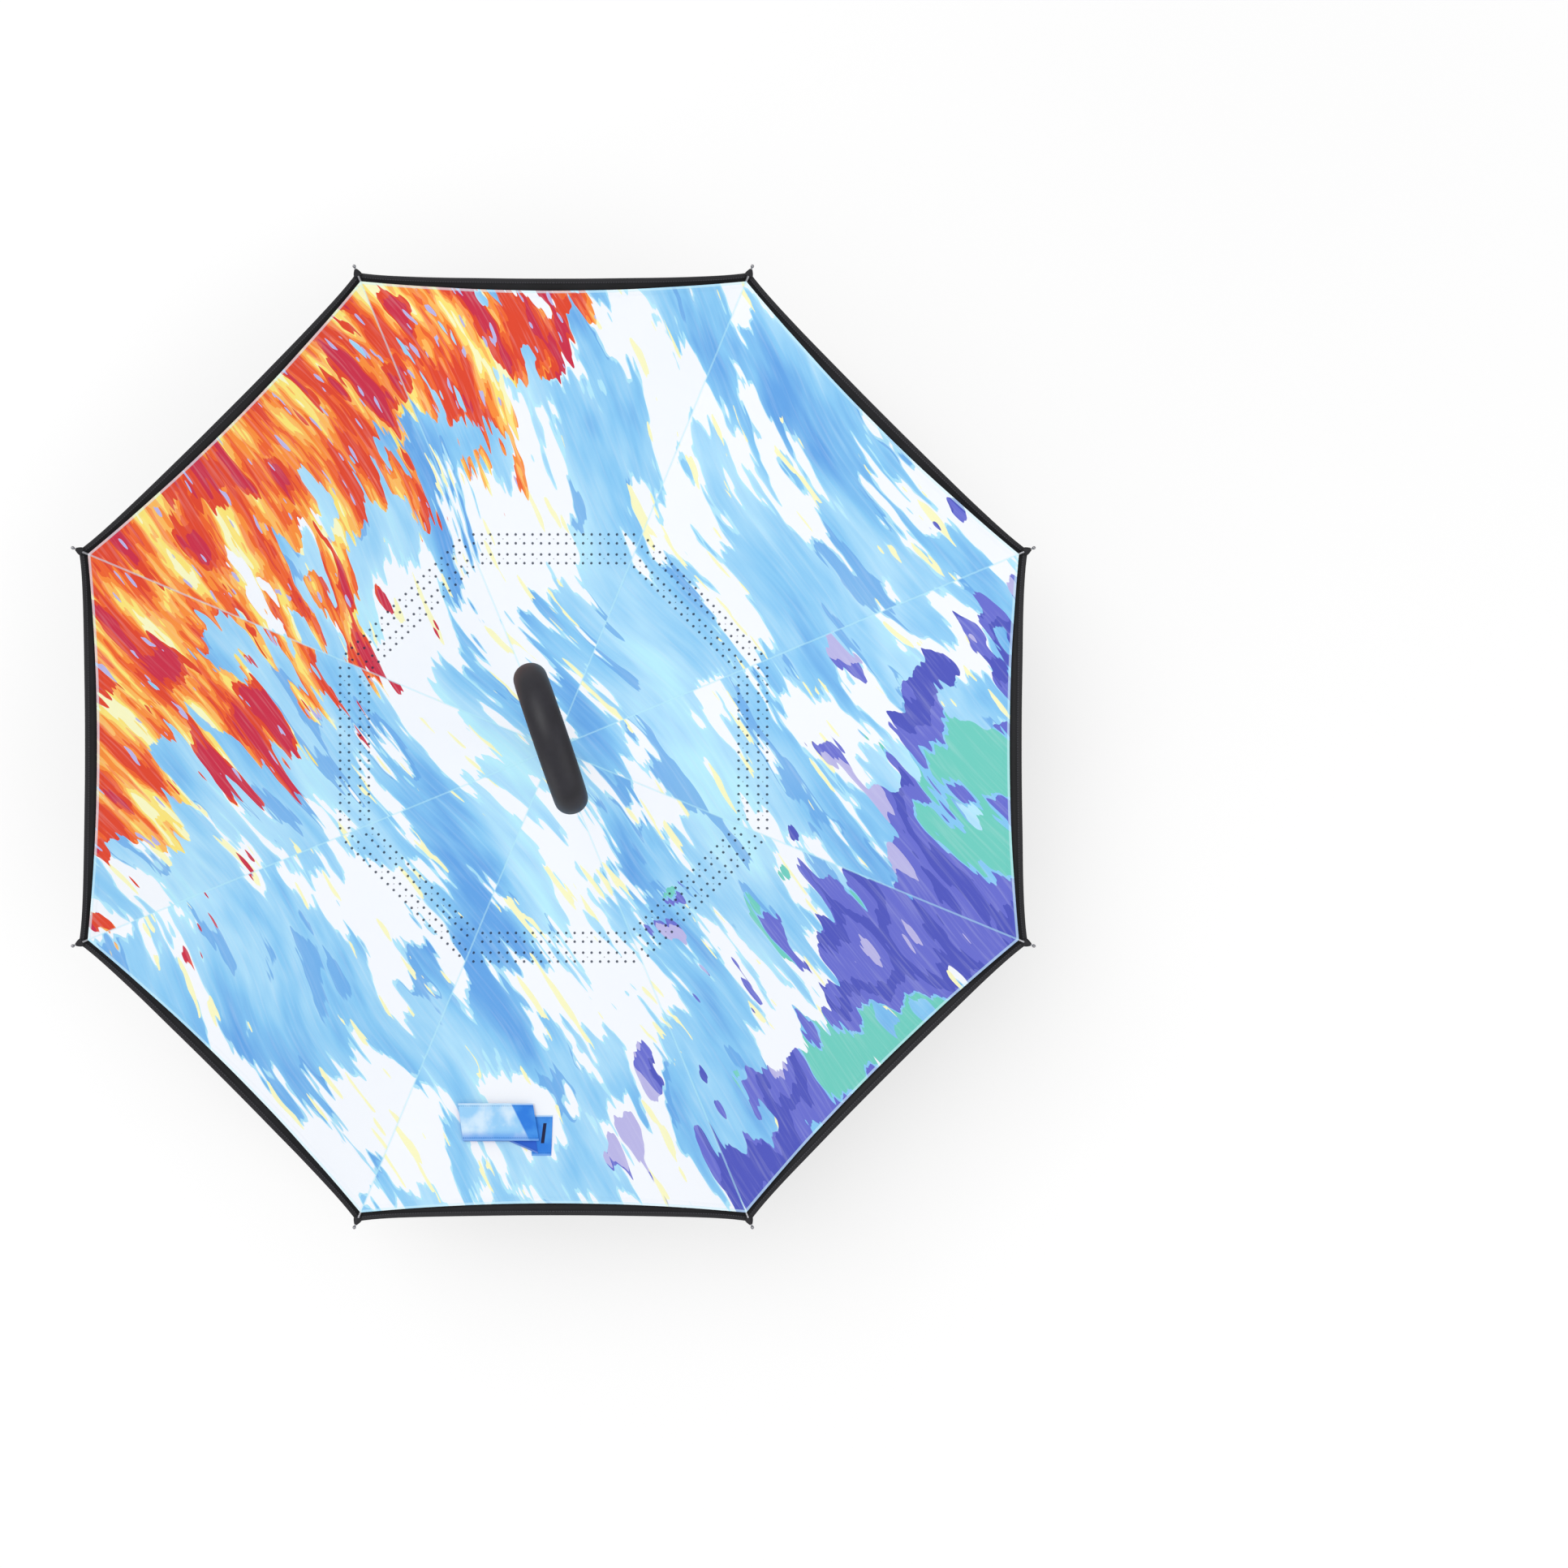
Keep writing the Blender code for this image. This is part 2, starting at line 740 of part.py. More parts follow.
for letter, sign in (("a", 1), ("b", -1)):
    sides = [-sign * s for s in (1, 0.5, 0)]
    rows = cloth_rows(lining_profile, START_LINING, LINING_CORNER, LINING_SAG, sides, 6)
    origin = Vector((FOLD_POINT[0], sign * FOLD_POINT[1], FOLD_POINT[2]))
    half = sheet(moved(rows, sign * HALF_STEP, origin), CLOTH)
    half_mesh = mesh_from(f"lining_{letter}", half, False)
    half_mesh.materials.append(lining_blue)
    for k in range(RIBS):
        turn = FIRST_RIB + k * STEP
        place(f"lining_{k + 1}{letter}", half_mesh, lining_blue, origin, turn)

rows = cloth_rows(
    shell_profile,
    START_SHELL,
    CORNER_SHARE,
    SHELL_SAG,
    (-1, -0.5, 0, 0.5, 1),
    9,
)
gore = sheet(moved(rows, HALF_STEP, FOLD_POINT), -CLOTH)
gore_mesh = mesh_from("shell", gore, False)
gore_mesh.materials.append(shell_black)
for k in range(RIBS):
    turn = FIRST_RIB + k * STEP
    place(f"shell_{k + 1}", gore_mesh, shell_black, FOLD_POINT, turn)

# Closing strap and its tab, sewn near the hem of the panel at the photograph's bottom
STRAP_RIB = 6
STRAP_LIFT = 0.0022
STRAP_THICK = 0.0022
STRAP_SHARES = (0.761, 0.838)
STRAP_PLACE = (0.019, 0.101)
TAB_SHARES = (0.784, 0.862)
TAB_PLACE = (0.0016, 0.0187)
TAB_THICK = 0.0012


def patch(shares, from_mid_line, thickness):
    """A flat piece on one lining half: shares of the rib's length, and metres from the mid-line."""
    rows = []
    for i in range(4):
        share = shares[0] + (shares[1] - shares[0]) * i / 3
        r = lining_profile(share)[0]
        row = []
        for k in range(4):
            away = from_mid_line[0] + (from_mid_line[1] - from_mid_line[0]) * k / 3
            p = across_point(lining_profile, share, -away / (r * sin(HALF_STEP)))
            row.append(p + Vector((0, 0, CLOTH + STRAP_LIFT)))
        rows.append(row)
    return sheet(moved(rows, HALF_STEP, FOLD_POINT), thickness)


strap_turn = FIRST_RIB + (STRAP_RIB - 1) * STEP
strap = patch(STRAP_SHARES, STRAP_PLACE, STRAP_THICK)
place("strap", mesh_from("strap", strap, False), strap_blue, FOLD_POINT, strap_turn)
tab = patch(TAB_SHARES, TAB_PLACE, TAB_THICK)
place("strap_tab", mesh_from("strap_tab", tab, False), strap_blue, FOLD_POINT, strap_turn)
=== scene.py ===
# Looks of an inverted (reverse-folding) umbrella, shown open with its handle up.
# Metres, +Z from the crown towards the handle, origin on the shaft's axis at mid grip.
from math import atan2, cos, hypot, pi, radians, sin, sqrt, tan

import bmesh
import bpy
from mathutils import Matrix, Vector, noise


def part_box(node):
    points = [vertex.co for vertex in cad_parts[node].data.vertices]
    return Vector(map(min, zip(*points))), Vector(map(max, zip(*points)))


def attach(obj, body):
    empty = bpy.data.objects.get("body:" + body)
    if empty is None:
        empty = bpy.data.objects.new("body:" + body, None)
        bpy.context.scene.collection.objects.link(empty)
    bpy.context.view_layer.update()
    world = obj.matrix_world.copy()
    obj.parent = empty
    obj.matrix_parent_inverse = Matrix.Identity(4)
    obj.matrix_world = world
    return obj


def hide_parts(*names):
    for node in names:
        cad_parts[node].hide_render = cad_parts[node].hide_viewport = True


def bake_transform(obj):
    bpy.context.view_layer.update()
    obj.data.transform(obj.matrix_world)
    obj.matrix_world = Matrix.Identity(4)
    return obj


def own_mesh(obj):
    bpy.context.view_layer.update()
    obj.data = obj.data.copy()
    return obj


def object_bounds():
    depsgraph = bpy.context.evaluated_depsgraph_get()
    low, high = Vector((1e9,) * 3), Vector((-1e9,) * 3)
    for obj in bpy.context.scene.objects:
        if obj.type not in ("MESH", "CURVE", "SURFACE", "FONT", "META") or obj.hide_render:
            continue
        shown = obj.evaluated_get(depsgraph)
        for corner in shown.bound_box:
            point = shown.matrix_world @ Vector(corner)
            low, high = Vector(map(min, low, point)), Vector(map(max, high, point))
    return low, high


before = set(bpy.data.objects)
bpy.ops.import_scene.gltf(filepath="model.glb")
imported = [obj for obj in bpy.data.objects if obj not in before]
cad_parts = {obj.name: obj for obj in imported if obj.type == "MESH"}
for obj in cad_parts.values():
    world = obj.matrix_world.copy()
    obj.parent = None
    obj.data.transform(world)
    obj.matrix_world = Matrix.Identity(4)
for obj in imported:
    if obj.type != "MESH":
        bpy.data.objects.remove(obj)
cad_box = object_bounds()


# C-shaped handle
# One moulding of soft-touch charcoal plastic: a D-section band, half round outside and flat inside,
# bent into a long oval that is left open at one side and stands on a short neck in the grip sleeve.
RING_TURN = radians(108.8)
RING_WIDE = 0.0978
RING_TALL = 0.143
RING_BAND = 0.014
RING_DEEP = 0.0210
RING_CORNER = 0.0012
RING_ROUND = 0.0096
RING_STEPS = 40
FINGER_GAP = 0.022
HORN_ROUND = 0.0022
HORN_STEPS = 5
ring_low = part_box("c_handle")[1].z - RING_TALL
ring_mid = ring_low + RING_TALL / 2


class Wire:
    """A socket's output that takes Python's operators: each one adds a Math node."""

    def __init__(self, tree, socket=None):
        self.tree = tree
        self.socket = socket

    def feed(self, socket, value):
        """Link a wire to a socket, or set the socket's own value."""
        if isinstance(value, Wire):
            self.tree.links.new(value.socket, socket)
        else:
            socket.default_value = value

    def node(self, kind, inputs=(), output=0, stops=(), between="LINEAR", **settings):
        """Add a node: settings first, then the values or links of its sockets. Gives one output."""
        made = self.tree.nodes.new("ShaderNode" + kind)
        for setting, value in settings.items():
            setattr(made, setting, value)
        if stops:
            ramp = made.color_ramp
            ramp.interpolation = between
            while len(ramp.elements) < len(stops):
                ramp.elements.new(1.0)
            for element, (place, colour) in zip(ramp.elements, stops):
                element.position = place
                element.color = colour
        for place, value in dict(inputs).items():
            self.feed(made.inputs[place], value)
        return Wire(self.tree, made.outputs[output])

    def math(self, operation, *values):
        return self.node("Math", enumerate(values), operation=operation)

    def mix(self, first, second):
        """The first colour where this wire is 0, the second where it is 1."""
        return self.node("Mix", {0: self, 6: first, 7: second}, 2, data_type="RGBA")

    def vector(self, operation, *values):
        """A vector operation on the values given, or on this wire."""
        output = "Value" if operation == "LENGTH" else "Vector"
        return self.node("VectorMath", enumerate(values or [self]), output, operation=operation)

    def part(self, name):
        """One component of a vector or colour."""
        return self.node("SeparateXYZ", {0: self}, name)

    def ramp(self, stops, between="LINEAR"):
        return self.node("ValToRGB", {0: self}, stops=stops, between=between)

    def step(self, low, high):
        """0 below low and 1 above high, with a smooth rise between them."""
        return self.node("MapRange", {0: self, 1: low, 2: high}, interpolation_type="SMOOTHSTEP")

    def __add__(self, other):
        return self.math("ADD", self, other)

    def __radd__(self, other):
        return self.math("ADD", other, self)

    def __sub__(self, other):
        return self.math("SUBTRACT", self, other)

    def __rsub__(self, other):
        return self.math("SUBTRACT", other, self)

    def __mul__(self, other):
        return self.math("MULTIPLY", self, other)

    def __rmul__(self, other):
        return self.math("MULTIPLY", other, self)

    def __gt__(self, other):
        return self.math("GREATER_THAN", self, other)

    def __lt__(self, other):
        return self.math("LESS_THAN", self, other)


def paint(red, green, blue):
    """A colour as a screen shows it, 0 to 255, turned to the linear values that a shader takes."""
    def linear(c):
        c = c / 255
        return c / 12.92 if c <= 0.04045 else ((c + 0.055) / 1.055) ** 2.4
    return (linear(red), linear(green), linear(blue), 1.0)


def shader(finish):
    return finish.node_tree.nodes["Principled BSDF"].inputs


def new_finish(name, constants):
    """A material, its constant values set, and its tree as a wire."""
    made = bpy.data.materials.new(name)
    made.use_nodes = True
    for socket, value in constants.items():
        shader(made)[socket].default_value = value
    return made, Wire(made.node_tree)


def place(start):
    """Object coordinates, which stay with a piece as it moves."""
    return start.node("TexCoord", output="Object")


def noise_at(start, at, scale, detail=2.0):
    return start.node("TexNoise", {"Vector": at, "Scale": scale, "Detail": detail})


def shaded(finish, start, colour, roughness, height, distance, strength):
    """Feed the shader of a finish its colour, its roughness, and its normal from a height."""
    settings = {"Height": height, "Distance": distance, "Strength": strength}
    sockets = shader(finish)
    start.feed(sockets["Base Color"], colour)
    start.feed(sockets["Roughness"], roughness)
    start.feed(sockets["Normal"], start.node("Bump", settings))
    return finish


def moulded(name, dark, light, roughness, grain, depth, constants):
    """Moulded plastic: a fine eroded grain, faint clouding of the colour and patchy roughness."""
    made, start = new_finish(name, constants)
    cloud = noise_at(start, place(start), 60.0, 3.0)
    fine = noise_at(start, place(start), grain)
    colour = cloud.step(0.3, 0.75).mix(dark, light)
    rough = roughness + (cloud - 0.5) * 0.12 + (fine - 0.5) * 0.08
    return shaded(made, start, colour, rough, fine, depth, 0.6)


charcoal = moulded(
    "charcoal_soft_touch", paint(33, 32, 38), paint(43, 42, 49),
    0.5, 2600.0, 0.00006, {"Specular IOR Level": 0.36},
)


def moved(bm, x, y, z):
    bmesh.ops.translate(bm, verts=bm.verts, vec=(x, y, z))


def turned(bm, angle):
    """Turn a bmesh about the shaft's axis."""
    bmesh.ops.rotate(bm, verts=bm.verts, matrix=Matrix.Rotation(angle, 3, "Z"))


def linked(name, bm, finish=None):
    """An object in the scene from a bmesh, which is used up, with its finish and slot."""
    mesh = bpy.data.meshes.new(name)
    bm.to_mesh(mesh)
    bm.free()
    made = bpy.data.objects.new(name, mesh)
    bpy.context.scene.collection.objects.link(made)
    if finish:
        mesh.materials.append(finish)
        mesh.shade_smooth()
    return made


def finished(name, bm, finish, body=None, node=None, sharp=38):
    """A piece from a bmesh: shaded, painted, and riding on its body in place of a CAD node."""
    bmesh.ops.remove_doubles(bm, verts=bm.verts, dist=0.000002)
    bmesh.ops.recalc_face_normals(bm, faces=bm.faces)
    made = linked(name, bm, finish)
    made.data.set_sharp_from_angle(angle=radians(sharp))
    if node:
        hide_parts(node)
    if body:
        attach(made, body)
    return made


def band_section():
    """Half of the handle's D-section, from the middle of its flat side round to its crown."""
    edge = RING_DEEP / 2
    half = [(-RING_BAND / 2, 0.0), (-RING_BAND / 2, edge * 0.5)]
    for i in range(6):
        a = pi - i * pi / 10
        across = RING_CORNER * (1 + cos(a)) - RING_BAND / 2
        half.append((across, edge - RING_CORNER * (1 - sin(a))))
    for i in range(17):
        a = pi / 2 - i * pi / 32
        half.append((RING_BAND / 2 - RING_ROUND * (1 - cos(a)), edge * sin(a)))
    return half


def handle_band():
    """Sweep the section up one horn, over the top, down the back and up the other horn."""
    bm = bmesh.new()
    bend = (RING_WIDE - RING_BAND) / 2
    straight = (RING_TALL - RING_BAND) / 2 - bend
    half = band_section()
    ring = half + [(across, -deep) for across, deep in reversed(half[1:-1])]
    start_z = ring_mid + FINGER_GAP / 2
    loop = [bm.verts.new((bend + across, deep, start_z)) for across, deep in ring]
    first = [bm.edges.new(pair) for pair in zip(loop, loop[1:] + loop[:1])]

    def drawn(edges, rise, shrink=None):
        """Extrude a loop of edges by a rise, and shrink it about the band's middle."""
        grown = bmesh.ops.extrude_edge_only(bm, edges=edges)["geom"]
        verts = [g for g in grown if isinstance(g, bmesh.types.BMVert)]
        bmesh.ops.translate(bm, verts=verts, vec=(0, 0, rise))
        if shrink:
            about = Matrix.Translation((-bend, 0, 0))
            bmesh.ops.scale(bm, verts=verts, vec=(*shrink, 1), space=about)
        return [g for g in grown if isinstance(g, bmesh.types.BMEdge)]

    def bent(edges, centre_z):
        """Spin a loop of edges half round, to the other side of the ring."""
        verts = list({v for e in edges for v in e.verts})
        spun = bmesh.ops.spin(
            bm, geom=verts + edges, axis=(0, -1, 0), cent=(0, 0, centre_z), angle=pi, steps=RING_STEPS
        )
        return [g for g in spun["geom_last"] if isinstance(g, bmesh.types.BMEdge)]

    top = ring_mid + straight
    low = ring_mid - straight
    last = drawn(list(first), top - start_z)
    last = drawn(bent(last, top), low - top)
    last = drawn(bent(last, low), ring_mid - FINGER_GAP / 2 - low)
    for horn, way in ((first, -1), (last, 1)):
        reach = 0.0
        size = Vector((1, 1))
        for i in range(1, HORN_STEPS + 1):
            a = i * pi / 2 / HORN_STEPS
            lift = HORN_ROUND * sin(a) - reach
            reach += lift
            inset = HORN_ROUND * (1 - cos(a)) * 2
            new = Vector((1 - inset / RING_BAND, 1 - inset / RING_DEEP))
            horn = drawn(horn, way * lift, (new[0] / size[0], new[1] / size[1]))
            size = new
        bmesh.ops.edgeloop_fill(bm, edges=horn)
    turned(bm, RING_TURN)
    return bm


finished("handle_band", handle_band(), charcoal, "root", "c_handle")


# Neck, grip sleeve and moulding gate
# The neck is moulded with the handle and flares into its underside; the sleeve is a plain charcoal
# tube pushed over the top of the shaft. The gate is the mark left on the handle's top by moulding.
GRIP_R = 0.0094
SHAFT_R = 0.006
GAP = 0.0003
NECK_TALL = 0.010
NECK_EDGE = 0.0012
NECK_GROOVE = 0.0004
GROOVE_TALL = 0.0006
SLEEVE_CHAMFER = 0.0005
SLEEVE_ROUND = 0.0012
SHAFT_IN = 0.0203
# Radius and depth below the handle's top
GATE = [(0, 0.0006), (0.0006, 0.0005), (0.0009, 0.0001), (0.0013, 0.00005), (0.0016, 0.0005)]
GATE_ROOT = 0.0012
grip_low, grip_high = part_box("grip_sleeve")


def lathed(profile, steps=72):
    """A body of revolution about Z from (radius, height) points, closed on itself or on the axis."""
    bm = bmesh.new()
    verts = [bm.verts.new((r, 0, z)) for r, z in profile]
    edges = [bm.edges.new(pair) for pair in zip(verts, verts[1:])]
    if min(r for r, _ in profile) > 0:
        edges.append(bm.edges.new((verts[-1], verts[0])))
    bmesh.ops.spin(
        bm, geom=verts + edges, axis=(0, 0, 1), cent=(0, 0, 0), angle=2 * pi, steps=steps, use_merge=True
    )
    return bm


def outline(radius, height, points):
    """Points of a profile, each given by how far it is in from a radius and up from a height."""
    return [(radius - inwards, height + up) for inwards, up in points]


neck = outline(GRIP_R, ring_low, [(GRIP_R, NECK_TALL), (0, NECK_TALL), (0, NECK_EDGE)])
neck += outline(GRIP_R, ring_low, [(NECK_GROOVE, GROOVE_TALL), (NECK_GROOVE, GAP), (GRIP_R, GAP)])
finished("handle_neck", lathed(neck), charcoal, "root")
sleeve = [(0, grip_high.z)]
sleeve += outline(GRIP_R, grip_high.z, [(SLEEVE_CHAMFER, 0), (0, -SLEEVE_CHAMFER)])
for i in range(5):
    a = i * pi / 8
    across = GRIP_R - SLEEVE_ROUND + SLEEVE_ROUND * cos(a)
    sleeve.append((across, grip_low.z + SLEEVE_ROUND - SLEEVE_ROUND * sin(a)))
sleeve += [(SHAFT_R + GAP, grip_low.z), (SHAFT_R + GAP, SHAFT_IN), (0, SHAFT_IN)]
finished("grip_tube", lathed(sleeve), charcoal, "root", "grip_sleeve")
gate = [(r, cad_box[1].z - down) for r, down in GATE + [(GATE[-1][0], GATE_ROOT), (0, GATE_ROOT)]]
finished("moulding_gate", lathed(gate, 32), charcoal, "root")


# Shaft
# A drawn steel tube, plated and polished, from inside the grip sleeve to inside the crown.
WALL = 0.0009
shaft_low, shaft_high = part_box("shaft")


def drawn_metal(name, colour, roughness, along, across, metallic=1.0):
    """Bright metal with fine lines along its length, from noise stretched in Object coordinates."""
    made, start = new_finish(name, {"Metallic": metallic})
    stretch = start.node("Mapping", {"Vector": place(start), "Scale": (across, across, along)})
    lines = noise_at(start, stretch, 1.0, 3.0)
    dim = tuple(c * 0.82 for c in colour[:3]) + (1.0,)
    colour = lines.step(0.3, 0.8).mix(colour, dim)
    return shaded(made, start, colour, roughness + (lines - 0.5) * 0.18, lines, 0.00002, 0.4)


plated = drawn_metal("plated_steel", paint(205, 207, 211), 0.26, 14.0, 1500.0)
shaft = outline(SHAFT_R, shaft_high.z, [(0, 0)]) + outline(SHAFT_R, shaft_low.z, [(0, 0), (WALL, 0)])
shaft += outline(SHAFT_R, shaft_high.z, [(WALL, 0)])
finished("shaft_tube", lathed(shaft, 64), plated, "root", "shaft")


# Runner
# The gloss black sleeve that the hand slides, in one moulding: a lip and a groove at its upper end, a
# raised frame round the button's window, an arched brow over it, and ribs that stiffen its sides.
BORE_R = 0.0064
BODY_R = 0.01025
BUTTON_TURN = radians(-47)
BUTTON_WIDE = 0.014
BUTTON_TALL = 0.0172
BUTTON_CORNER = 0.003
LIP = 0.0006
FOOT_OVER = 0.00025
# In from the sleeve's radius and up from its lower and its upper end
RUNNER_FOOT = [(LIP, 0.0016), (0, 0.0022)]
RUNNER_TOP = [(0, -0.0030), (0.0004, -0.0026), (0.0004, -0.0020), (0, -0.0016), (0, -LIP), (LIP, 0)]
WINDOW_IN = 0.0022
WINDOW_DEEP = 0.012
FRAME_WIDE = 0.0011
FRAME_THICK = 0.0012
FRAME_PROUD = 0.0005
FRAME_IN = 0.0035
BROW_WIDE = 0.0116
BROW_RISE = 0.0012
BROW_DEEP = 0.0012
BROW_EDGE = 0.0006
RIDGE_TURNS = (55, -55, 100, -100, 145, -145, 180)
RIDGE_R = 0.0009
RIDGE_ROUND = 0.0006
RIDGE_SUNK = 0.0004
RIDGE_SHORT = 0.0062
RIDGE_FROM_FOOT = 0.0024
RIDGE_FROM_TOP = 0.0032
body_low, body_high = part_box("runner_body")
button_z = sum(c.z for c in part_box("release_button")) / 2
gloss = moulded(
    "gloss_black_plastic", paint(22, 22, 24), paint(30, 30, 33),
    0.24, 900.0, 0.00003, {"Coat Weight": 0.35, "Coat Roughness": 0.12},
)


def bevelled(bm, edges, offset, segments):
    """Round some edges of a bmesh."""
    bmesh.ops.bevel(
        bm, geom=edges, offset=offset, segments=segments, profile=0.5, affect="EDGES", material=-1
    )


def outer_edges(bm, reach):
    """The edges that lie beyond a reach in x."""
    return [e for e in bm.edges if min(v.co.x for v in e.verts) > reach]


def rounded_slab(wide, tall, corner, depth):
    """A slab with round corners that fills y and z about the origin and x from 0 to depth."""
    bm = bmesh.new()
    bmesh.ops.create_cube(bm, size=1)
    bmesh.ops.scale(bm, verts=bm.verts, vec=(depth, wide, tall))
    moved(bm, depth / 2, 0, 0)
    along = [e for e in bm.edges if abs(e.verts[0].co.x - e.verts[1].co.x) > depth / 2]
    bevelled(bm, along, corner, 6)
    return bm


def to_button(bm):
    """Turn a bmesh to the button's side of the runner, at the button's height."""
    turned(bm, BUTTON_TURN)
    moved(bm, 0, 0, button_z)


def wrapped(bm, wide, strips, radius):
    """Bend a slab, cut in strips, round the runner: x is the height above a cylinder's radius."""
    for i in range(1, strips):
        y = wide * (i / strips - 0.5)
        whole = bm.verts[:] + bm.edges[:] + bm.faces[:]
        bmesh.ops.bisect_plane(bm, geom=whole, dist=1e-7, plane_co=(0, y, 0), plane_no=(0, 1, 0))
    for v in bm.verts:
        v.co.x += sqrt(radius**2 - v.co.y**2)
    to_button(bm)


def cut_window(obj, inside):
    """Cut the button's window through a piece, from a radius outwards."""
    bm = rounded_slab(BUTTON_WIDE + 2 * GAP, BUTTON_TALL + 2 * GAP, BUTTON_CORNER, WINDOW_DEEP)
    moved(bm, inside, 0, 0)
    to_button(bm)
    bmesh.ops.recalc_face_normals(bm, faces=bm.faces)
    tool = linked("tool", bm)
    change = obj.modifiers.new("cut", "BOOLEAN")
    change.object = tool
    graph = bpy.context.evaluated_depsgraph_get()
    done = bpy.data.meshes.new_from_object(obj.evaluated_get(graph))
    obj.modifiers.clear()
    obj.data = done
    done.set_sharp_from_angle(angle=radians(35))
    bpy.data.objects.remove(tool)


def brow_arch():
    """Half an ellipse above the window, thick, rounded in front and bent round the runner."""
    foot = BUTTON_TALL / 2 + GAP
    tall = body_high.z + BROW_RISE - button_z - foot
    bm = bmesh.new()
    bmesh.ops.create_circle(bm, cap_ends=True, segments=64, radius=0.5)
    bmesh.ops.rotate(bm, verts=bm.verts, matrix=Matrix.Rotation(pi / 2, 3, "Y"))
    bmesh.ops.scale(bm, verts=bm.verts, vec=(1, BROW_WIDE, 2 * tall))
    whole = bm.verts[:] + bm.edges[:] + bm.faces[:]
    bmesh.ops.bisect_plane(bm, geom=whole, plane_no=(0, 0, -1), clear_outer=True)
    grown = bmesh.ops.extrude_face_region(bm, geom=bm.faces[:])["geom"]
    front = [g for g in grown if isinstance(g, bmesh.types.BMVert)]
    bmesh.ops.translate(bm, verts=front, vec=(BROW_DEEP, 0, 0))
    bevelled(bm, outer_edges(bm, BROW_DEEP / 2), BROW_EDGE, 4)
    moved(bm, 0, 0, foot)
    wrapped(bm, BROW_WIDE, 16, BODY_R - BROW_DEEP / 2)
    return bm


def ridge(away):
    """A half-sunk round rib up the sleeve, at a turn from the button."""
    bm = bmesh.new()
    tall = body_high.z - body_low.z - RIDGE_SHORT
    bmesh.ops.create_cone(
        bm, cap_ends=True, segments=24, radius1=RIDGE_R, radius2=RIDGE_R, depth=tall
    )
    rims = [e for e in bm.edges if abs(e.verts[0].co.z - e.verts[1].co.z) < 1e-6]
    bevelled(bm, rims, RIDGE_ROUND, 3)
    middle_z = (body_low.z + RIDGE_FROM_FOOT + body_high.z - RIDGE_FROM_TOP) / 2
    moved(bm, BODY_R - RIDGE_SUNK, 0, middle_z)
    turned(bm, BUTTON_TURN + away)
    return bm


runner_foot = body_low.z - FOOT_OVER
sleeve = [(BORE_R, body_high.z), (BORE_R, runner_foot), (BODY_R - LIP, runner_foot)]
sleeve += outline(BODY_R, body_low.z, RUNNER_FOOT) + outline(BODY_R, body_high.z, RUNNER_TOP)
runner = finished("runner_sleeve", lathed(sleeve), gloss, "runner", "runner_body")
cut_window(runner, WINDOW_IN)
around = 2 * (GAP + FRAME_WIDE)
slab = rounded_slab(
    BUTTON_WIDE + around, BUTTON_TALL + around, BUTTON_CORNER + FRAME_WIDE, FRAME_THICK
)
wrapped(slab, BUTTON_WIDE + 2 * FRAME_WIDE, 16, BODY_R - FRAME_THICK + FRAME_PROUD)
button_frame = finished("button_frame", slab, gloss, "runner")
cut_window(button_frame, FRAME_IN)
finished("button_brow", brow_arch(), gloss, "runner")
for i, away in enumerate(RIDGE_TURNS):
    finished(f"runner_ridge_{i + 1}", ridge(radians(away)), gloss, "runner")


# Release button
# A red acetal key with a crowned face, pushed in against a leaf spring to let the runner go.
BUTTON_OUT = 0.0117
BUTTON_IN = 0.0090
BUTTON_EDGE = 0.0009
button_deep = BUTTON_OUT - BUTTON_IN
button_red = moulded(
    "red_button_plastic", paint(232, 22, 24), paint(246, 34, 32),
    0.38, 1400.0, 0.00003, {"Specular IOR Level": 0.35},
)
key = rounded_slab(BUTTON_WIDE, BUTTON_TALL, BUTTON_CORNER, button_deep)
bevelled(key, outer_edges(key, button_deep * 0.9), BUTTON_EDGE, 4)
wrapped(key, BUTTON_WIDE, 18, BUTTON_IN)
finished("red_button", key, button_red, "button", "release_button")


# Bell collar
# A black moulding screwed to the rib hub: a cone with a rolled shoulder under the sleeve and a thick
# round rim, which hides the lining's inner edge.
RIM = 0.0016
RIM_UP = 0.0002
RIM_FLAT = 0.0022
SHOULDER_R = 0.0112
SHOULDER = 0.0016
SHOULDER_DOWN = 0.0001
NECK_OVER = 0.0004
# In from the bell's radius and up from its foot
BELL_STEP = [(0.0016, 0.0034), (0.0017, 0.0040)]
bell_low, bell_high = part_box("bell_collar")
BELL_R = bell_high.x
bell = [(BORE_R, bell_high.z), (BORE_R, bell_low.z), (BELL_R - RIM_FLAT, bell_low.z)]
for i in range(9):
    a = i * pi / 10 - pi / 2.2
    bell.append((BELL_R - RIM * (1 - cos(a)), bell_low.z + RIM_UP + RIM * (1 + sin(a))))
bell += outline(BELL_R, bell_low.z, BELL_STEP)
for i in range(8):
    a = i * pi / 14
    down = SHOULDER * (1 - sin(a))
    bell.append((SHOULDER_R + SHOULDER * cos(a), bell_high.z - SHOULDER_DOWN - down))
bell.append((BODY_R + NECK_OVER, bell_high.z))
finished("bell_mouth", lathed(bell), gloss, "runner", "bell_collar")


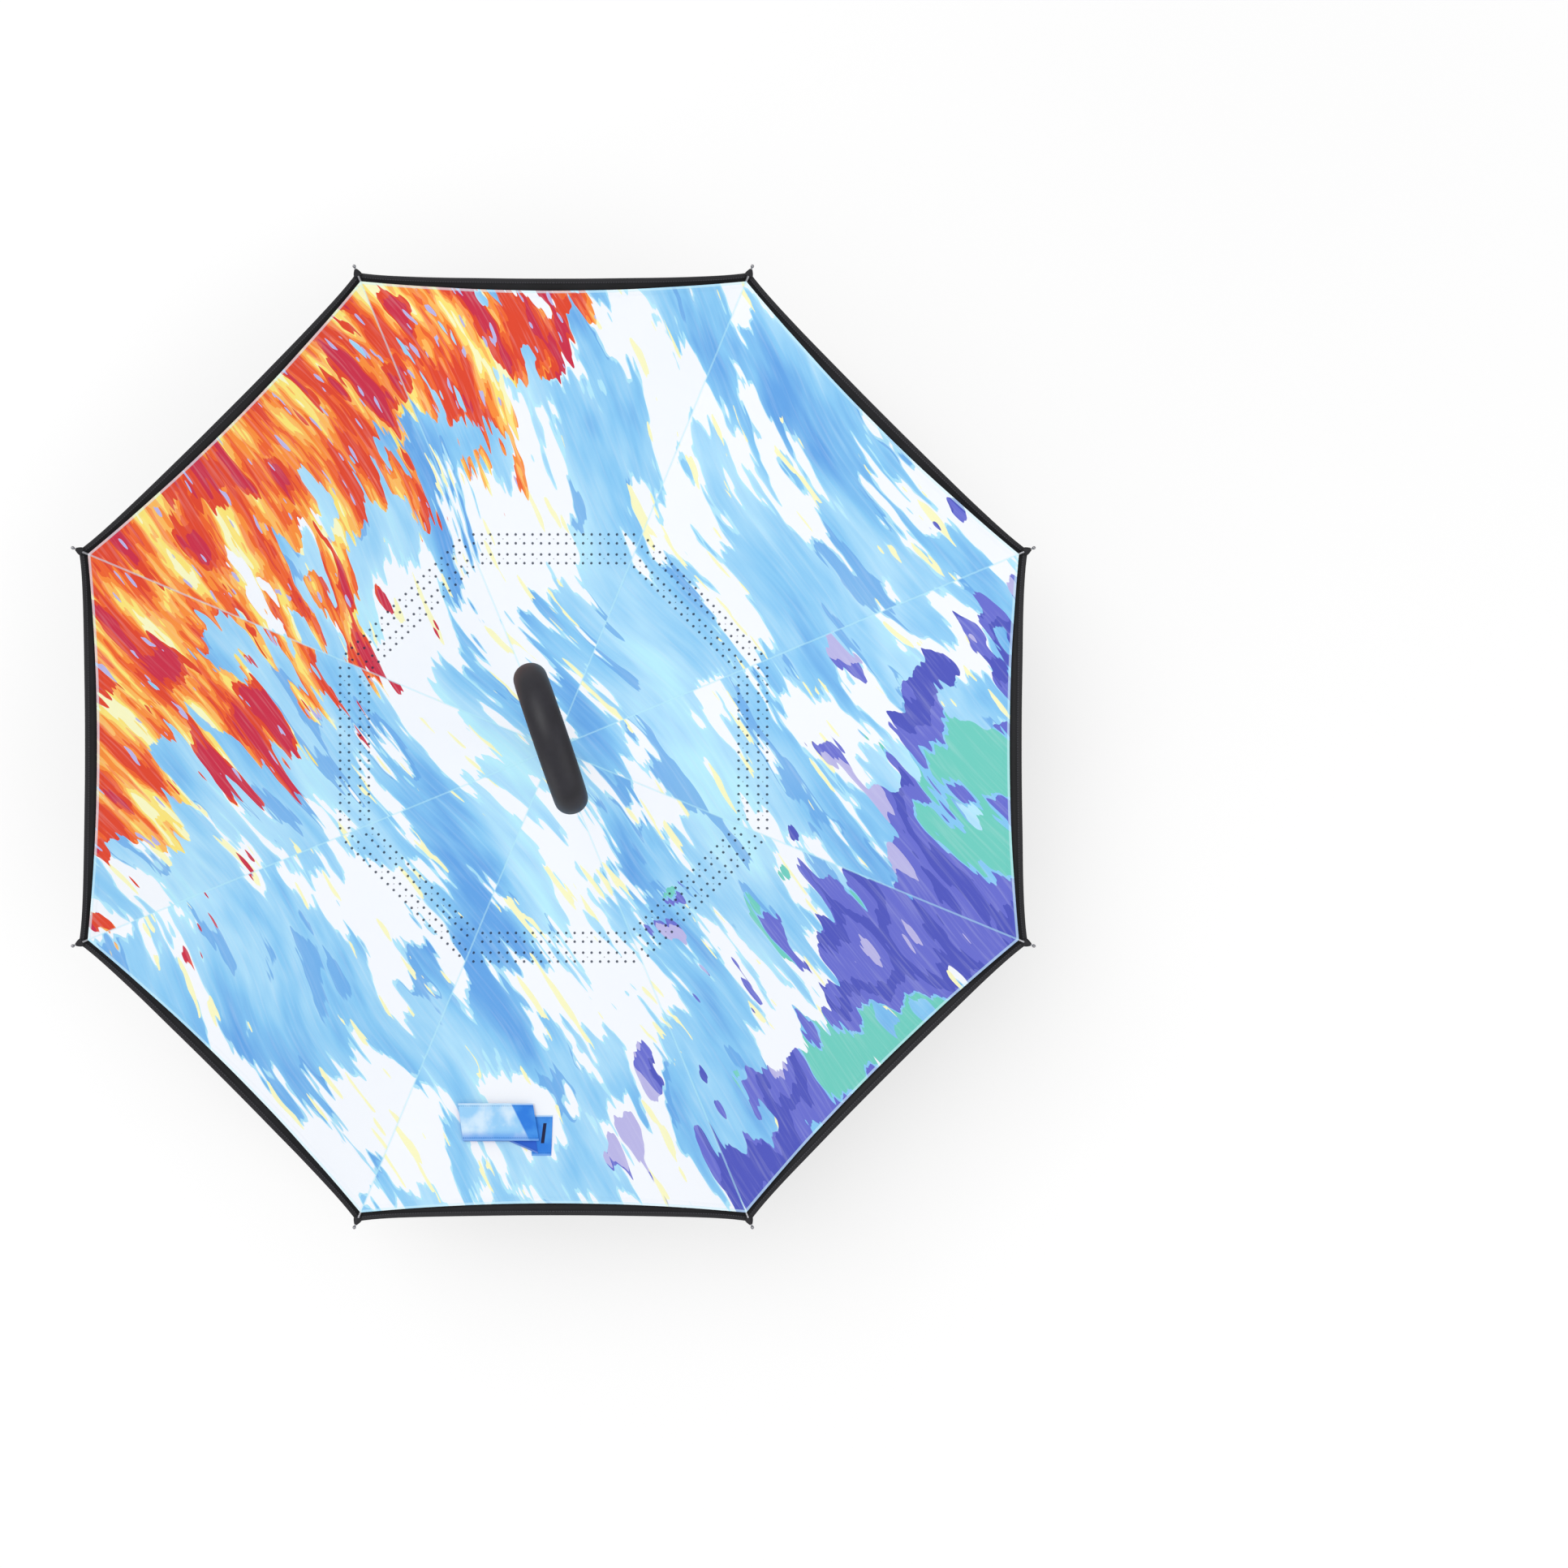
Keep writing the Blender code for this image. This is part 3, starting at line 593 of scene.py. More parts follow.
# Cap and ferrule
# The cap clamps the outer cloth under the crown; the ferrule is the blunt black point below it. Their
# profiles are given inwards from a radius and upwards from the top or the foot of the piece.
CAP_TOP = [(0.0033, 0), (0.0006, -0.0006), (0, -0.0011), (0.0004, -0.0018)]
CAP_FOOT_R = 0.0108
CAP_FOOT = [(-0.0004, 0.0003), (0, 0), (CAP_FOOT_R, 0)]
CAP_TAPER = (0.0030, 0.0006)
TIP_TOP = [(0.0003, 0), (0, -0.0003), (0, -0.0034), (0.0006, -0.0040), (0.0014, -0.0044)]
TIP_NECK = (0.0010, -0.0052)
TIP_TAPER = ((0.0011, 0.0058), (0.0014, 0.0290))
FOOT_R = 0.005
TIP_FOOT = [(-0.0009, 0.0009), (-0.0006, 0.0003), (0, 0), (FOOT_R, 0)]
cap_low, cap_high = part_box("canopy_cap")
CAP_R = cap_high.x
cap = [(0, cap_high.z)] + outline(CAP_R, cap_high.z, CAP_TOP)
cap += outline(CAP_R, cap_low.z, [CAP_TAPER]) + outline(CAP_FOOT_R, cap_low.z, CAP_FOOT)
finished("cloth_cap", lathed(cap), gloss, "root", "canopy_cap")
tip_low, tip_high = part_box("ferrule")
TIP_R = tip_high.x
tip = [(0, tip_high.z)] + outline(TIP_R, tip_high.z, TIP_TOP + [TIP_NECK])
(taper_in, taper_top), (narrowing, taper_tall) = TIP_TAPER
for i in range(9):
    share = i / 8
    tip.append((TIP_R - taper_in - narrowing * share, tip_high.z - taper_top - taper_tall * share))
tip += outline(FOOT_R, tip_low.z, TIP_FOOT)
finished("ferrule_point", lathed(tip), gloss, "root", "ferrule")


# Crown, hub, catch, wires, spring and struts
# Hidden workings: black mouldings, hinge wires, black painted steel struts, and the button's leaf
# spring, which is given a mesh of its own.
RIBS = 8
painted_steel = drawn_metal("painted_steel", paint(46, 46, 50), 0.36, 40.0, 700.0, 0.55)
spring_steel = drawn_metal("spring_steel", paint(176, 178, 184), 0.3, 900.0, 900.0)
workings = {
    gloss: ["crown", "rib_hub", "top_catch"],
    spring_steel: ["crown_wire", "rib_wire", "button_spring"],
    painted_steel: [f"strut_{k + 1}" for k in range(RIBS)],
}
for finish, names in workings.items():
    for name in names:
        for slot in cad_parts[name].material_slots:
            slot.material = finish
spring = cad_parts["button_spring"]
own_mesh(spring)


# Ribs
# Eight bars of black painted steel channel, bowed by the taut cloth. Each ends in a plated ferrule
# with a thin rod and a round knob, which hold the cloth's corners.
STEP = 2 * pi / RIBS
HALF_STEP = STEP / 2
PIVOT_R = 0.012
RIB_CHORD = 0.566
RIB_BEND = radians(18)
RIB_OPEN = radians(20)
BAR_START = 0.02
CHANNEL_WIDE = 0.0026
CHANNEL_TALL = 0.0030
CHANNEL_WALL = 0.0006
TONGUE_WIDE = 0.0016
TONGUE_TALL = 0.0032
TONGUE_REACH = (-0.0015, 0.024)
ROD_R = 0.0009
TIP_ROD = 0.0114
TIP_BALL = 0.0022
KNOB_R = TIP_BALL * 0.82
FERRULE_R = 0.0013
FERRULE_BACK = 0.0100
FERRULE_OUT = 0.0015
FERRULE_IN = 0.004
HUB_Z = sum(c.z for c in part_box("rib_wire")) / 2
half_bend = RIB_BEND / 2
BOW = RIB_CHORD / 2 / sin(half_bend)
BOW_R = PIVOT_R + BOW * (sin(half_bend) * cos(RIB_OPEN) - cos(half_bend) * sin(RIB_OPEN))
BOW_Z = HUB_Z + BOW * (sin(half_bend) * sin(RIB_OPEN) + cos(half_bend) * cos(RIB_OPEN))
CORNER_SHARE = 1 - TIP_ROD / RIB_CHORD
BAR_END = CORNER_SHARE - FERRULE_BACK / RIB_CHORD


def rib_turn(k):
    """Angle about the shaft of rib k, counted from 0."""
    return HALF_STEP + k * STEP


def rib_curve(share):
    """Point of the bowed rib at a share of its length, as (radius, height), and its slope."""
    turn = RIB_BEND * (share - 0.5)
    along = BOW * (sin(half_bend) + sin(turn))
    sag = BOW * (cos(turn) - cos(half_bend))
    r = PIVOT_R + along * cos(RIB_OPEN) + sag * sin(RIB_OPEN)
    z = HUB_Z + along * sin(RIB_OPEN) - sag * cos(RIB_OPEN)
    return Vector((r, z)), RIB_OPEN + turn


def along_rib(bm, section, start, end, steps):
    """Spin a closed section, given as (across, up) points, along the rib's arc."""
    at, slope = rib_curve(start)
    verts = []
    for across, up in section:
        verts.append(bm.verts.new((at[0] - up * sin(slope), across, at[1] + up * cos(slope))))
    edges = [bm.edges.new(pair) for pair in zip(verts, verts[1:] + verts[:1])]
    cap = bmesh.ops.edgeloop_fill(bm, edges=edges)["faces"]
    bmesh.ops.spin(
        bm, geom=verts + edges + cap, axis=(0, -1, 0), cent=(BOW_R, 0, BOW_Z),
        angle=RIB_BEND * (end - start), steps=steps, use_duplicate=False,
    )


def circle(radius, count, flat=1.0):
    turns = [2 * pi * i / count for i in range(count)]
    return [(radius * cos(a), radius * flat * sin(a)) for a in turns]


tip_metal = drawn_metal("tip_metal", paint(162, 162, 167), 0.3, 900.0, 900.0)
channel = [(-0.5, 0.5), (-0.5, -0.35), (-0.35, -0.5), (0.35, -0.5), (0.5, -0.35), (0.5, 0.5)]
channel = [(x * CHANNEL_WIDE, y * CHANNEL_TALL) for x, y in channel]
inner = CHANNEL_WIDE / 2 - CHANNEL_WALL
channel += [(inner, CHANNEL_TALL / 2), (inner, -CHANNEL_TALL / 2 + CHANNEL_WALL)]
channel += [(-inner, -CHANNEL_TALL / 2 + CHANNEL_WALL), (-inner, CHANNEL_TALL / 2)]
tongue = [(x * TONGUE_WIDE / 2, y * TONGUE_TALL / 2) for x, y in ((-1, 1), (-1, -1), (1, -1), (1, 1))]
ferrule_end = CORNER_SHARE + FERRULE_OUT / RIB_CHORD
knob_share = 1 - TIP_BALL / RIB_CHORD
knob, _ = rib_curve(knob_share)
for k in range(RIBS):
    bar = bmesh.new()
    along_rib(bar, channel, BAR_START, BAR_END, 40)
    along_rib(bar, tongue, *TONGUE_REACH, 4)
    turned(bar, rib_turn(k))
    finished(f"rib_bar_{k + 1}", bar, painted_steel, f"rib_{k + 1}", f"rib_{k + 1}")
    rod = bmesh.new()
    along_rib(rod, circle(ROD_R, 14), BAR_END, knob_share, 6)
    along_rib(rod, circle(FERRULE_R, 18), BAR_END - FERRULE_IN, ferrule_end, 6)
    at = Matrix.Translation((knob[0], 0, knob[1]))
    bmesh.ops.create_uvsphere(rod, u_segments=24, v_segments=14, radius=KNOB_R, matrix=at)
    turned(rod, rib_turn(k))
    finished(f"rib_tip_{k + 1}", rod, tip_metal, f"rib_{k + 1}")


# Printed lining
# Sky blue pongee printed with loose brush dabs, a warm patch and a violet one. It is cut in eight
# gores, punched with vent holes, sewn along each rib, turned over at its hem and tied at its corners.
LINING_LIFT = 0.0023
LINING_BACK = 0.0060
LINING_SAG = 0.0097
LINING_SLACK = 0.0011
LINING_ROLL = 0.0003
LINING_START = (0.0146 - PIVOT_R) / RIB_CHORD + 0.0008
LINING_CORNER = CORNER_SHARE - LINING_BACK / RIB_CHORD
CLOTH = 0.00035
SINGLE = 0.55
SLACK_SIZE = 13.0
HEM_ROWS = 8
HEM_ZONE = 0.008
HEM_WIDE = 0.0065
PRINT_SHIFT = 0.006
SHIFT_TURN = 2.3
STROKE_TURN = radians(-36)
VENT_REACH = 0.2297
VENT_PITCH = 0.0097
VENT_ROWS = (-0.0155, -0.0060, 0.0060, 0.0155)
PIN_ROWS = (-0.01075, 0.01075)
THREADS = 9000.0
SKY = paint(134, 200, 243)
DEEP_SKY = paint(98, 164, 230)
PALE_SKY = paint(174, 223, 250)
CYAN = paint(186, 238, 252)
HEM_PALE = paint(208, 245, 255)
WHITE = paint(246, 249, 254)
CREAM = paint(250, 248, 196)
YELLOW = paint(252, 228, 118)
LIGHT_ORANGE = paint(253, 186, 92)
ORANGE = paint(250, 142, 54)
RED_ORANGE = paint(240, 98, 40)
BRICK = paint(226, 68, 38)
CRIMSON = paint(204, 40, 70)
INDIGO = paint(78, 86, 190)
VIOLET = paint(104, 110, 208)
LAVENDER = paint(186, 182, 230)
TEAL = paint(110, 206, 192)
# Dark of the painted vent holes: the black shell seen through them, with painted shade between the layers
HOLE_SHELL_SHADE = paint(26, 40, 66)
# Each kind of dab: its size across and along the brush, its seed, and its detail
BRUSHES = {
    "patch": (0.085, 0.210, 5.0, 1.0),
    "middle": (0.021, 0.100, 9.0, 1.0),
    "fine": (0.0055, 0.042, 13.0, 1.0),
    "wash": (0.100, 0.340, 17.0, 3.0),
    "deep": (0.036, 0.210, 21.0, 1.0),
    "cream": (0.013, 0.100, 25.0, 1.0),
    "warm": (0.070, 0.150, 29.0, 2.0),
    "layers": (0.027, 0.150, 33.0, 1.5),
    "flare": (0.045, 0.130, 37.0, 1.0),
    "flecks": (0.007, 0.040, 41.0, 1.0),
    "rounder": (0.060, 0.085, 45.0, 1.0),
    "bands": (0.095, 0.140, 49.0, 1.0),
    "bristle": (0.0030, 0.070, 53.0, 2.0),
}
WARM_TONES = [(0.0, BRICK), (0.38, RED_ORANGE), (0.455, ORANGE), (0.53, LIGHT_ORANGE)]
WARM_TONES += [(0.60, YELLOW), (0.68, CREAM)]
COOL_TONES = [(0.0, TEAL), (0.39, SKY), (0.41, VIOLET), (0.50, INDIGO), (0.59, VIOLET), (0.68, LAVENDER)]


def lining_profile(share):
    point, slope = rib_curve(share)
    return point + Vector((-sin(slope), cos(slope))) * LINING_LIFT


def facing_gore(k, sign):
    """Turns a point on +X to the middle of the gore beside rib k."""
    return Matrix.Rotation(rib_turn(k) + sign * HALF_STEP, 3, "Z")


def grid(rows, columns, *names):
    """A flat grid, 1 m wide, and the layers of its vertices' attributes."""
    bm = bmesh.new()
    bmesh.ops.create_grid(bm, x_segments=rows, y_segments=columns, size=0.5)
    return bm, [bm.verts.layers.float.new(name) for name in names]


def gore_half(
    name, k, sign, profile, start, corner, finish, rows, columns,
    sag=0.0, slack=0.0, roll=0.0, pull=0.0, beyond=0.0,
):
    """Half a gore, from rib k to the middle line on the side given by sign, with its attributes.

    It is straight across from rib to rib. Its hem sags in between the corners, which pull draws out.
    Beyond is the cloth between its outer edge and the canopy's hem."""
    bm, layers = grid(rows, columns, "reach", "from_seam", "from_hem", "from_middle", "double")
    reach, from_seam, from_hem, from_middle, double = layers
    rest = bm.verts.layers.float_vector.new("rest")
    gore = (k + max(sign, 0)) % RIBS
    shift = Vector((cos(gore * SHIFT_TURN), sin(gore * SHIFT_TURN), 0)) * PRINT_SHIFT
    facing = facing_gore(k, sign)
    zone = HEM_ZONE / RIB_CHORD
    for v in bm.verts:
        side = 0.5 - v.co.y
        hem = corner - (sag * (1 - side**2) - pull * side**10) / RIB_CHORD
        row = round((v.co.x + 0.5) * rows)
        if row <= rows - HEM_ROWS:
            share = start + (hem - zone - start) * row / (rows - HEM_ROWS)
        else:
            share = hem - zone * (rows - row) / HEM_ROWS
        r, z = profile(share)
        x, y = r * cos(HALF_STEP), -sign * r * sin(HALF_STEP) * side
        loose = sin(pi * side) ** 2 * min(1.0, 4 * (share - start))
        z += slack * loose * noise.noise(Vector((x * SLACK_SIZE, abs(y) * SLACK_SIZE, 3.0 + gore)))
        v[reach] = x
        v[from_seam] = (r * sin(HALF_STEP) - abs(y)) * cos(HALF_STEP)
        v[from_middle] = abs(y)
        v[from_hem] = (hem - share) * RIB_CHORD + beyond
        v[double] = 1.0 if v[from_hem] < HEM_WIDE else SINGLE
        if v[from_hem] < HEM_WIDE:
            z += roll * sin(pi * v[from_hem] / HEM_WIDE)
        v.co = facing @ Vector((x, y, z))
        v[rest] = v.co + shift
    if sign < 0:
        bmesh.ops.reverse_faces(bm, faces=bm.faces)
    for edge in bm.edges:
        edge.smooth = not edge.is_boundary
    area = sum(f.calc_area() for f in bm.faces)
    return linked(name, bm, finish), area


def follow_cloth(obj):
    """Bake a piece of cloth's place in the scene into its mesh."""
    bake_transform(obj)


def thickened(obj, grows):
    """Give the cloth its thickness, full at the doubled hem and about half of that elsewhere."""
    group = obj.vertex_groups.new(name="doubled")
    attribute = obj.data.attributes["double"].data
    for i, value in enumerate(attribute):
        group.add([i], value.value, "REPLACE")
    wall = obj.modifiers.new("thickness", "SOLIDIFY")
    wall.thickness = CLOTH
    wall.offset = grows
    wall.vertex_group = "doubled"


def flat_size(profile, start, end):
    """Half a gore lying flat: its width at the outer end, and its length along the rib."""
    return profile(end)[0] * sin(HALF_STEP), (end - start) * RIB_CHORD


def attribute(start, name, output="Fac"):
    return start.node("Attribute", output=output, attribute_name=name)


def weave(start, x, y):
    """Crossed threads, as a height."""
    return start.math("SINE", x * THREADS) * start.math("SINE", y * THREADS)


def vent_holes(start, from_seam):
    """1 in the vent holes: two double rows of holes at mid gore, each with pinholes between."""
    reach = attribute(start, "reach") - VENT_REACH
    across = attribute(start, "from_middle")
    beside = start.math("PINGPONG", across - VENT_PITCH / 2, VENT_PITCH / 2)
    holes = 0.0
    for row in VENT_ROWS:
        away = start.math("SQRT", beside * beside + (reach - row) * (reach - row))
        holes = start.math("MAXIMUM", holes, 1 - away.step(0.0012, 0.0017))
    between = start.math("PINGPONG", across, VENT_PITCH)
    for row in PIN_ROWS:
        away = start.math("SQRT", between * between + (reach - row) * (reach - row))
        holes = start.math("MAXIMUM", holes, (1 - away.step(0.0005, 0.0009)) * 0.6)
    return holes * (from_seam > 0.004)


def printed_cloth():
    """The print is thresholds on noise drawn out along the brush, one layer of dabs on another."""
    constants = {"Sheen Weight": 0.12, "Sheen Roughness": 0.5, "Specular IOR Level": 0.3}
    made, start = new_finish("printed_lining", constants)
    at = attribute(start, "rest", "Vector")
    drift = start.node("TexNoise", {"Vector": at, "Scale": 2.4, "Detail": 1.0}, "Color")
    flow = start.vector("MULTIPLY_ADD", drift, (0.15, 0.15, 0.0), at)
    brush = start.node("VectorRotate", {"Vector": flow, "Angle": STROKE_TURN}, rotation_type="Z_AXIS")

    def strokes(kind):
        wide, long, seed, detail = BRUSHES[kind]
        thin = start.vector("MULTIPLY_ADD", brush, (1 / wide, 1 / long, 0.0), (seed, seed * 1.7, 0.0))
        settings = {"Vector": thin, "Scale": 1.0, "Detail": detail}
        return start.node("TexNoise", settings, noise_dimensions="2D")

    patch = strokes("patch")
    middle = strokes("middle") - 0.5
    fine = strokes("fine") - 0.5
    ragged = middle * 0.62 + fine * 0.24
    wash = strokes("wash") + fine * 0.10 + middle * 0.25
    colour = wash.ramp([(0.26, DEEP_SKY), (0.42, SKY), (0.58, PALE_SKY), (0.70, CYAN)])
    deep = strokes("deep") + ragged
    colour = (deep.step(0.64, 0.66) * 0.75).mix(colour, DEEP_SKY)
    cover = patch + ragged
    colour = (cover.step(0.520, 0.535) * 0.7).mix(colour, CYAN)
    colour = cover.step(0.552, 0.560).mix(colour, WHITE)
    cream = strokes("cream") + fine * 0.25
    colour = ((cream > 0.69) * (cover > 0.50)).mix(colour, CREAM)
    x, y = at.part("X"), at.part("Y")
    patches = strokes("warm") - 0.5
    warm = (x * -0.80 + y * 0.60 - 0.30 + patches * 0.35 + ragged * 0.45).step(-0.002, 0.002)
    layers = strokes("layers") + middle * 0.20 + fine * 0.36
    warm_tone = layers.ramp(WARM_TONES, "CONSTANT")
    flare = strokes("flare") + ragged
    warm_tone = flare.step(0.62, 0.63).mix(warm_tone, BRICK)
    warm_tone = flare.step(0.69, 0.70).mix(warm_tone, CRIMSON)
    warm_tone = (strokes("flecks") > 0.73).mix(warm_tone, LAVENDER)
    colour = warm.mix(colour, warm_tone)
    rounder = strokes("rounder") + middle * 0.3
    cool = (x * 0.88 - y * 0.47 - 0.36 + (rounder - 0.5) * 0.45 + ragged * 0.30).step(-0.002, 0.002)
    bands = strokes("bands") + middle * 0.25 + fine * 0.10
    colour = cool.mix(colour, bands.ramp(COOL_TONES, "CONSTANT"))
    colour = (strokes("bristle").step(0.45, 0.8) * 0.10).mix(colour, WHITE)
    from_seam = attribute(start, "from_seam")
    seam = 1 - from_seam.step(0.0007, 0.0013)
    hem = 1 - attribute(start, "from_hem").step(0.0024, 0.0030)
    colour = (seam * 0.42).mix(colour, CYAN)
    colour = (hem * 0.5).mix(colour, HEM_PALE)
    holes = vent_holes(start, from_seam)
    # The vent holes are painted dark: the black shell seen through them, with painted shade between the
    # layers.
    colour = (holes * 0.9).mix(colour, HOLE_SHELL_SHADE)
    pucker = noise_at(start, at, 70.0)
    by_seam = 1 - from_seam.step(0.002, 0.016)
    height = weave(start, x, y) * 0.04 + pucker * (0.12 + by_seam * 0.9) - holes * 1.2
    height += seam * 0.8 + hem * 0.5
    return shaded(made, start, colour, 0.62 + pucker * 0.1, height, 0.0006, 0.5)


SIDES = (("a", 1), ("b", -1))
print_cloth = printed_cloth()
lining_flat = flat_size(lining_profile, LINING_START, LINING_CORNER)
for k in range(RIBS):
    for letter, sign in SIDES:
        half, area = gore_half(
            f"lining_half_{k + 1}{letter}", k, sign, lining_profile, LINING_START, LINING_CORNER,
            print_cloth, rows=96, columns=26, sag=LINING_SAG, slack=LINING_SLACK, roll=LINING_ROLL,
        )
        follow_cloth(half)
        thickened(half, 1.0)
        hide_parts(f"lining_{k + 1}{letter}")


# Gathered collar
# The lining's inner end, drawn in by a thread and tucked up under the bell: one short gathered piece
# over each rib.
GATHER_OVER = radians(8)
GATHER_ROWS = 8
GATHER_COLUMNS = 42
RUCK = 0.0002
RUCKS = 40
HUB_CLEAR = 0.01435
TUCK = 0.0003
UNDER_BELL = (0.01455, HUB_Z + 0.0060)


def gathered(name, k, fixed, edge, finish):
    """A ring's eighth of gathered cloth from a round end, fixed, to a gore's straight inner edge.

    Both are (radius, height)."""
    names = ("reach", "from_seam", "from_hem", "from_middle", "loose_end")
    bm, layers = grid(GATHER_ROWS, GATHER_COLUMNS, *names)
    reach, from_seam, from_hem, from_middle, loose_end = layers
    rest = bm.verts.layers.float_vector.new("rest")
    for v in bm.verts:
        down = v.co.x + 0.5
        turn = v.co.y * 2 * (HALF_STEP + GATHER_OVER)
        edge_r = edge[0] * cos(HALF_STEP) / cos(HALF_STEP - abs(turn)) + TUCK
        r = fixed[0] + (max(edge_r, HUB_CLEAR) - fixed[0]) * down
        r += RUCK * sin(pi * down) * cos(turn * RUCKS)
        v[reach] = v[from_hem] = v[from_middle] = r
        v[from_seam] = abs(turn) * r
        v[loose_end] = max(0.0, GATHER_ROWS * (down - 1) + 1)
        z = fixed[1] + (edge[1] - fixed[1]) * down
        v.co = Matrix.Rotation(rib_turn(k) + turn, 3, "Z") @ Vector((r, 0, z))
        v[rest] = v.co
    area = sum(f.calc_area() for f in bm.faces)
    made = finished(name, bm, finish)
    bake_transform(made)
    wall = made.modifiers.new("thickness", "SOLIDIFY")
    wall.thickness = CLOTH / 2
    wall.offset = 1.0


edge_r, edge_z = lining_profile(LINING_START)
for k in range(RIBS):
    gathered(
        f"lining_gather_{k + 1}", k, UNDER_BELL, (edge_r, edge_z - TUCK),
        print_cloth,
    )


# Black outer shell
# Plain black pongee, proofed and slightly shiny: seamed along each rib, with a rolled and stitched
# hem past the lining's edge. Its inner end lies on the struts, gathered and clamped by the cap.
JOINT_SHARE = 0.44
JOIN_SHARE = 0.52
SHELL_DROP = 0.0034
SHELL_RISE = 0.0008
SHELL_SAG = 0.0035
SHELL_SLACK = -0.0009
SHELL_ROLL = 0.0009
SHELL_START = (0.0158 - PIVOT_R) / RIB_CHORD
CORNER_PULL = 0.0028
CROWN_Z = sum(c.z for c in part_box("crown_wire")) / 2
ON_CAP = (0.0150, cap_high.z)


def shell_profile(share):
    """Along the struts near the crown, then along the outer ribs."""
    if share < JOINT_SHARE:
        joint, _ = rib_curve(JOINT_SHARE)
        foot = Vector((PIVOT_R, CROWN_Z))
        point = foot.lerp(joint, share / JOINT_SHARE)
        slope = atan2(joint[1] - foot[1], joint[0] - foot[0])
    else:
        point, slope = rib_curve(share)
    drop = SHELL_DROP - SHELL_RISE * max(0.0, share - JOIN_SHARE) / (1 - JOIN_SHARE)
    return point - Vector((-sin(slope), cos(slope))) * drop


def black_cloth():
    constants = {"Sheen Weight": 0.10, "Sheen Roughness": 0.4, "Specular IOR Level": 0.35}
    made, start = new_finish("black_pongee", constants)
    at = attribute(start, "rest", "Vector")
    threads = weave(start, at.part("X"), at.part("Y"))
    cloud = noise_at(start, at, 24.0, 3.0)
    seam_gap = attribute(start, "from_seam")
    hem_gap = attribute(start, "from_hem")
    seam = 1 - seam_gap.step(0.0010, 0.0020)
    hem = 1 - hem_gap.step(0.0050, 0.0060)
    stitch_line = 1 - start.math("ABSOLUTE", hem_gap - 0.0045).step(0.0003, 0.0006)
    stitches = stitch_line * (start.math("SINE", attribute(start, "from_middle") * 2400.0) > -0.3)
    colour = cloud.step(0.3, 0.8).mix(paint(17, 17, 20), paint(28, 28, 32))
    # The rolled hem is painted a lighter grey: a painted highlight along the roll.
    colour = (hem * 0.5).mix(colour, paint(34, 33, 38))
    colour = (stitches * 0.8).mix(colour, paint(70, 70, 76))
    pucker = noise_at(start, at, 80.0)
    by_edge = 1 - start.math("MINIMUM", seam_gap, hem_gap).step(0.002, 0.014)
    height = threads * 0.05 + pucker * (0.15 + by_edge * 0.9) + seam * 0.8 + stitches * 0.5
    return shaded(made, start, colour, 0.5 + cloud * 0.16, height, 0.0006, 0.6)


outer_cloth = black_cloth()
outer_flat = flat_size(shell_profile, JOINT_SHARE, CORNER_SHARE)
inner_flat = flat_size(shell_profile, 0, JOINT_SHARE)
for k in range(RIBS):
    for letter, sign in SIDES:
        half, area = gore_half(
            f"shell_outer_{k + 1}{letter}", k, sign, shell_profile, JOINT_SHARE, CORNER_SHARE, outer_cloth,
            rows=64, columns=26, sag=SHELL_SAG, slack=SHELL_SLACK, roll=SHELL_ROLL, pull=CORNER_PULL,
        )
        follow_cloth(half)
        thickened(half, -1.0)
        if sign > 0:
            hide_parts(f"shell_{k + 1}")
        half, area = gore_half(
            f"shell_inner_{k + 1}{letter}", k, sign, shell_profile, SHELL_START, JOINT_SHARE, outer_cloth,
            rows=36, columns=18, beyond=outer_flat[1],
        )
        thickened(half, -1.0)
        across = facing_gore(k, 0) @ Vector((0, 1, 0))
        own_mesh(half)
        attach(half, f"strut_{k + 1}")
edge_r, edge_z = shell_profile(SHELL_START)
for k in range(RIBS):
    gathered(
        f"shell_gather_{k + 1}", k, ON_CAP, (edge_r, edge_z + TUCK),
        outer_cloth,
    )


# Corner pockets
# Small black sleeves folded from the shell's corners and stitched, each with a rib's ferrule pushed
# into it: wide where the two hems meet, and drawn in round the rod.
POCKET_IN = 0.0006
POCKET_OUT = 0.0062
POCKET_HIGH = 0.0022
POCKET_DOWN = 0.0007
POCKET_BASE = 0.0046
POCKET_POINT = 0.0015
low, high = CORNER_SHARE - POCKET_IN / RIB_CHORD, CORNER_SHARE + POCKET_OUT / RIB_CHORD
start_at, _ = rib_curve(low)
pocket_long = (rib_curve(high)[0] - start_at).length
pocket_section = [(across, up - POCKET_DOWN) for across, up in circle(1.0, 24, POCKET_HIGH)]
for k in range(RIBS):
    bm = bmesh.new()
    along_rib(bm, pocket_section, low, high, 16)
    for v in bm.verts:
        share = min(1.0, (Vector((v.co.x, v.co.z)) - start_at).length / pocket_long)
        v.co.y *= POCKET_POINT + (POCKET_BASE - POCKET_POINT) * cos(pi / 2 * share)
    turned(bm, rib_turn(k))
    finished(f"corner_pocket_{k + 1}", bm, outer_cloth, f"rib_{k + 1}", sharp=60)


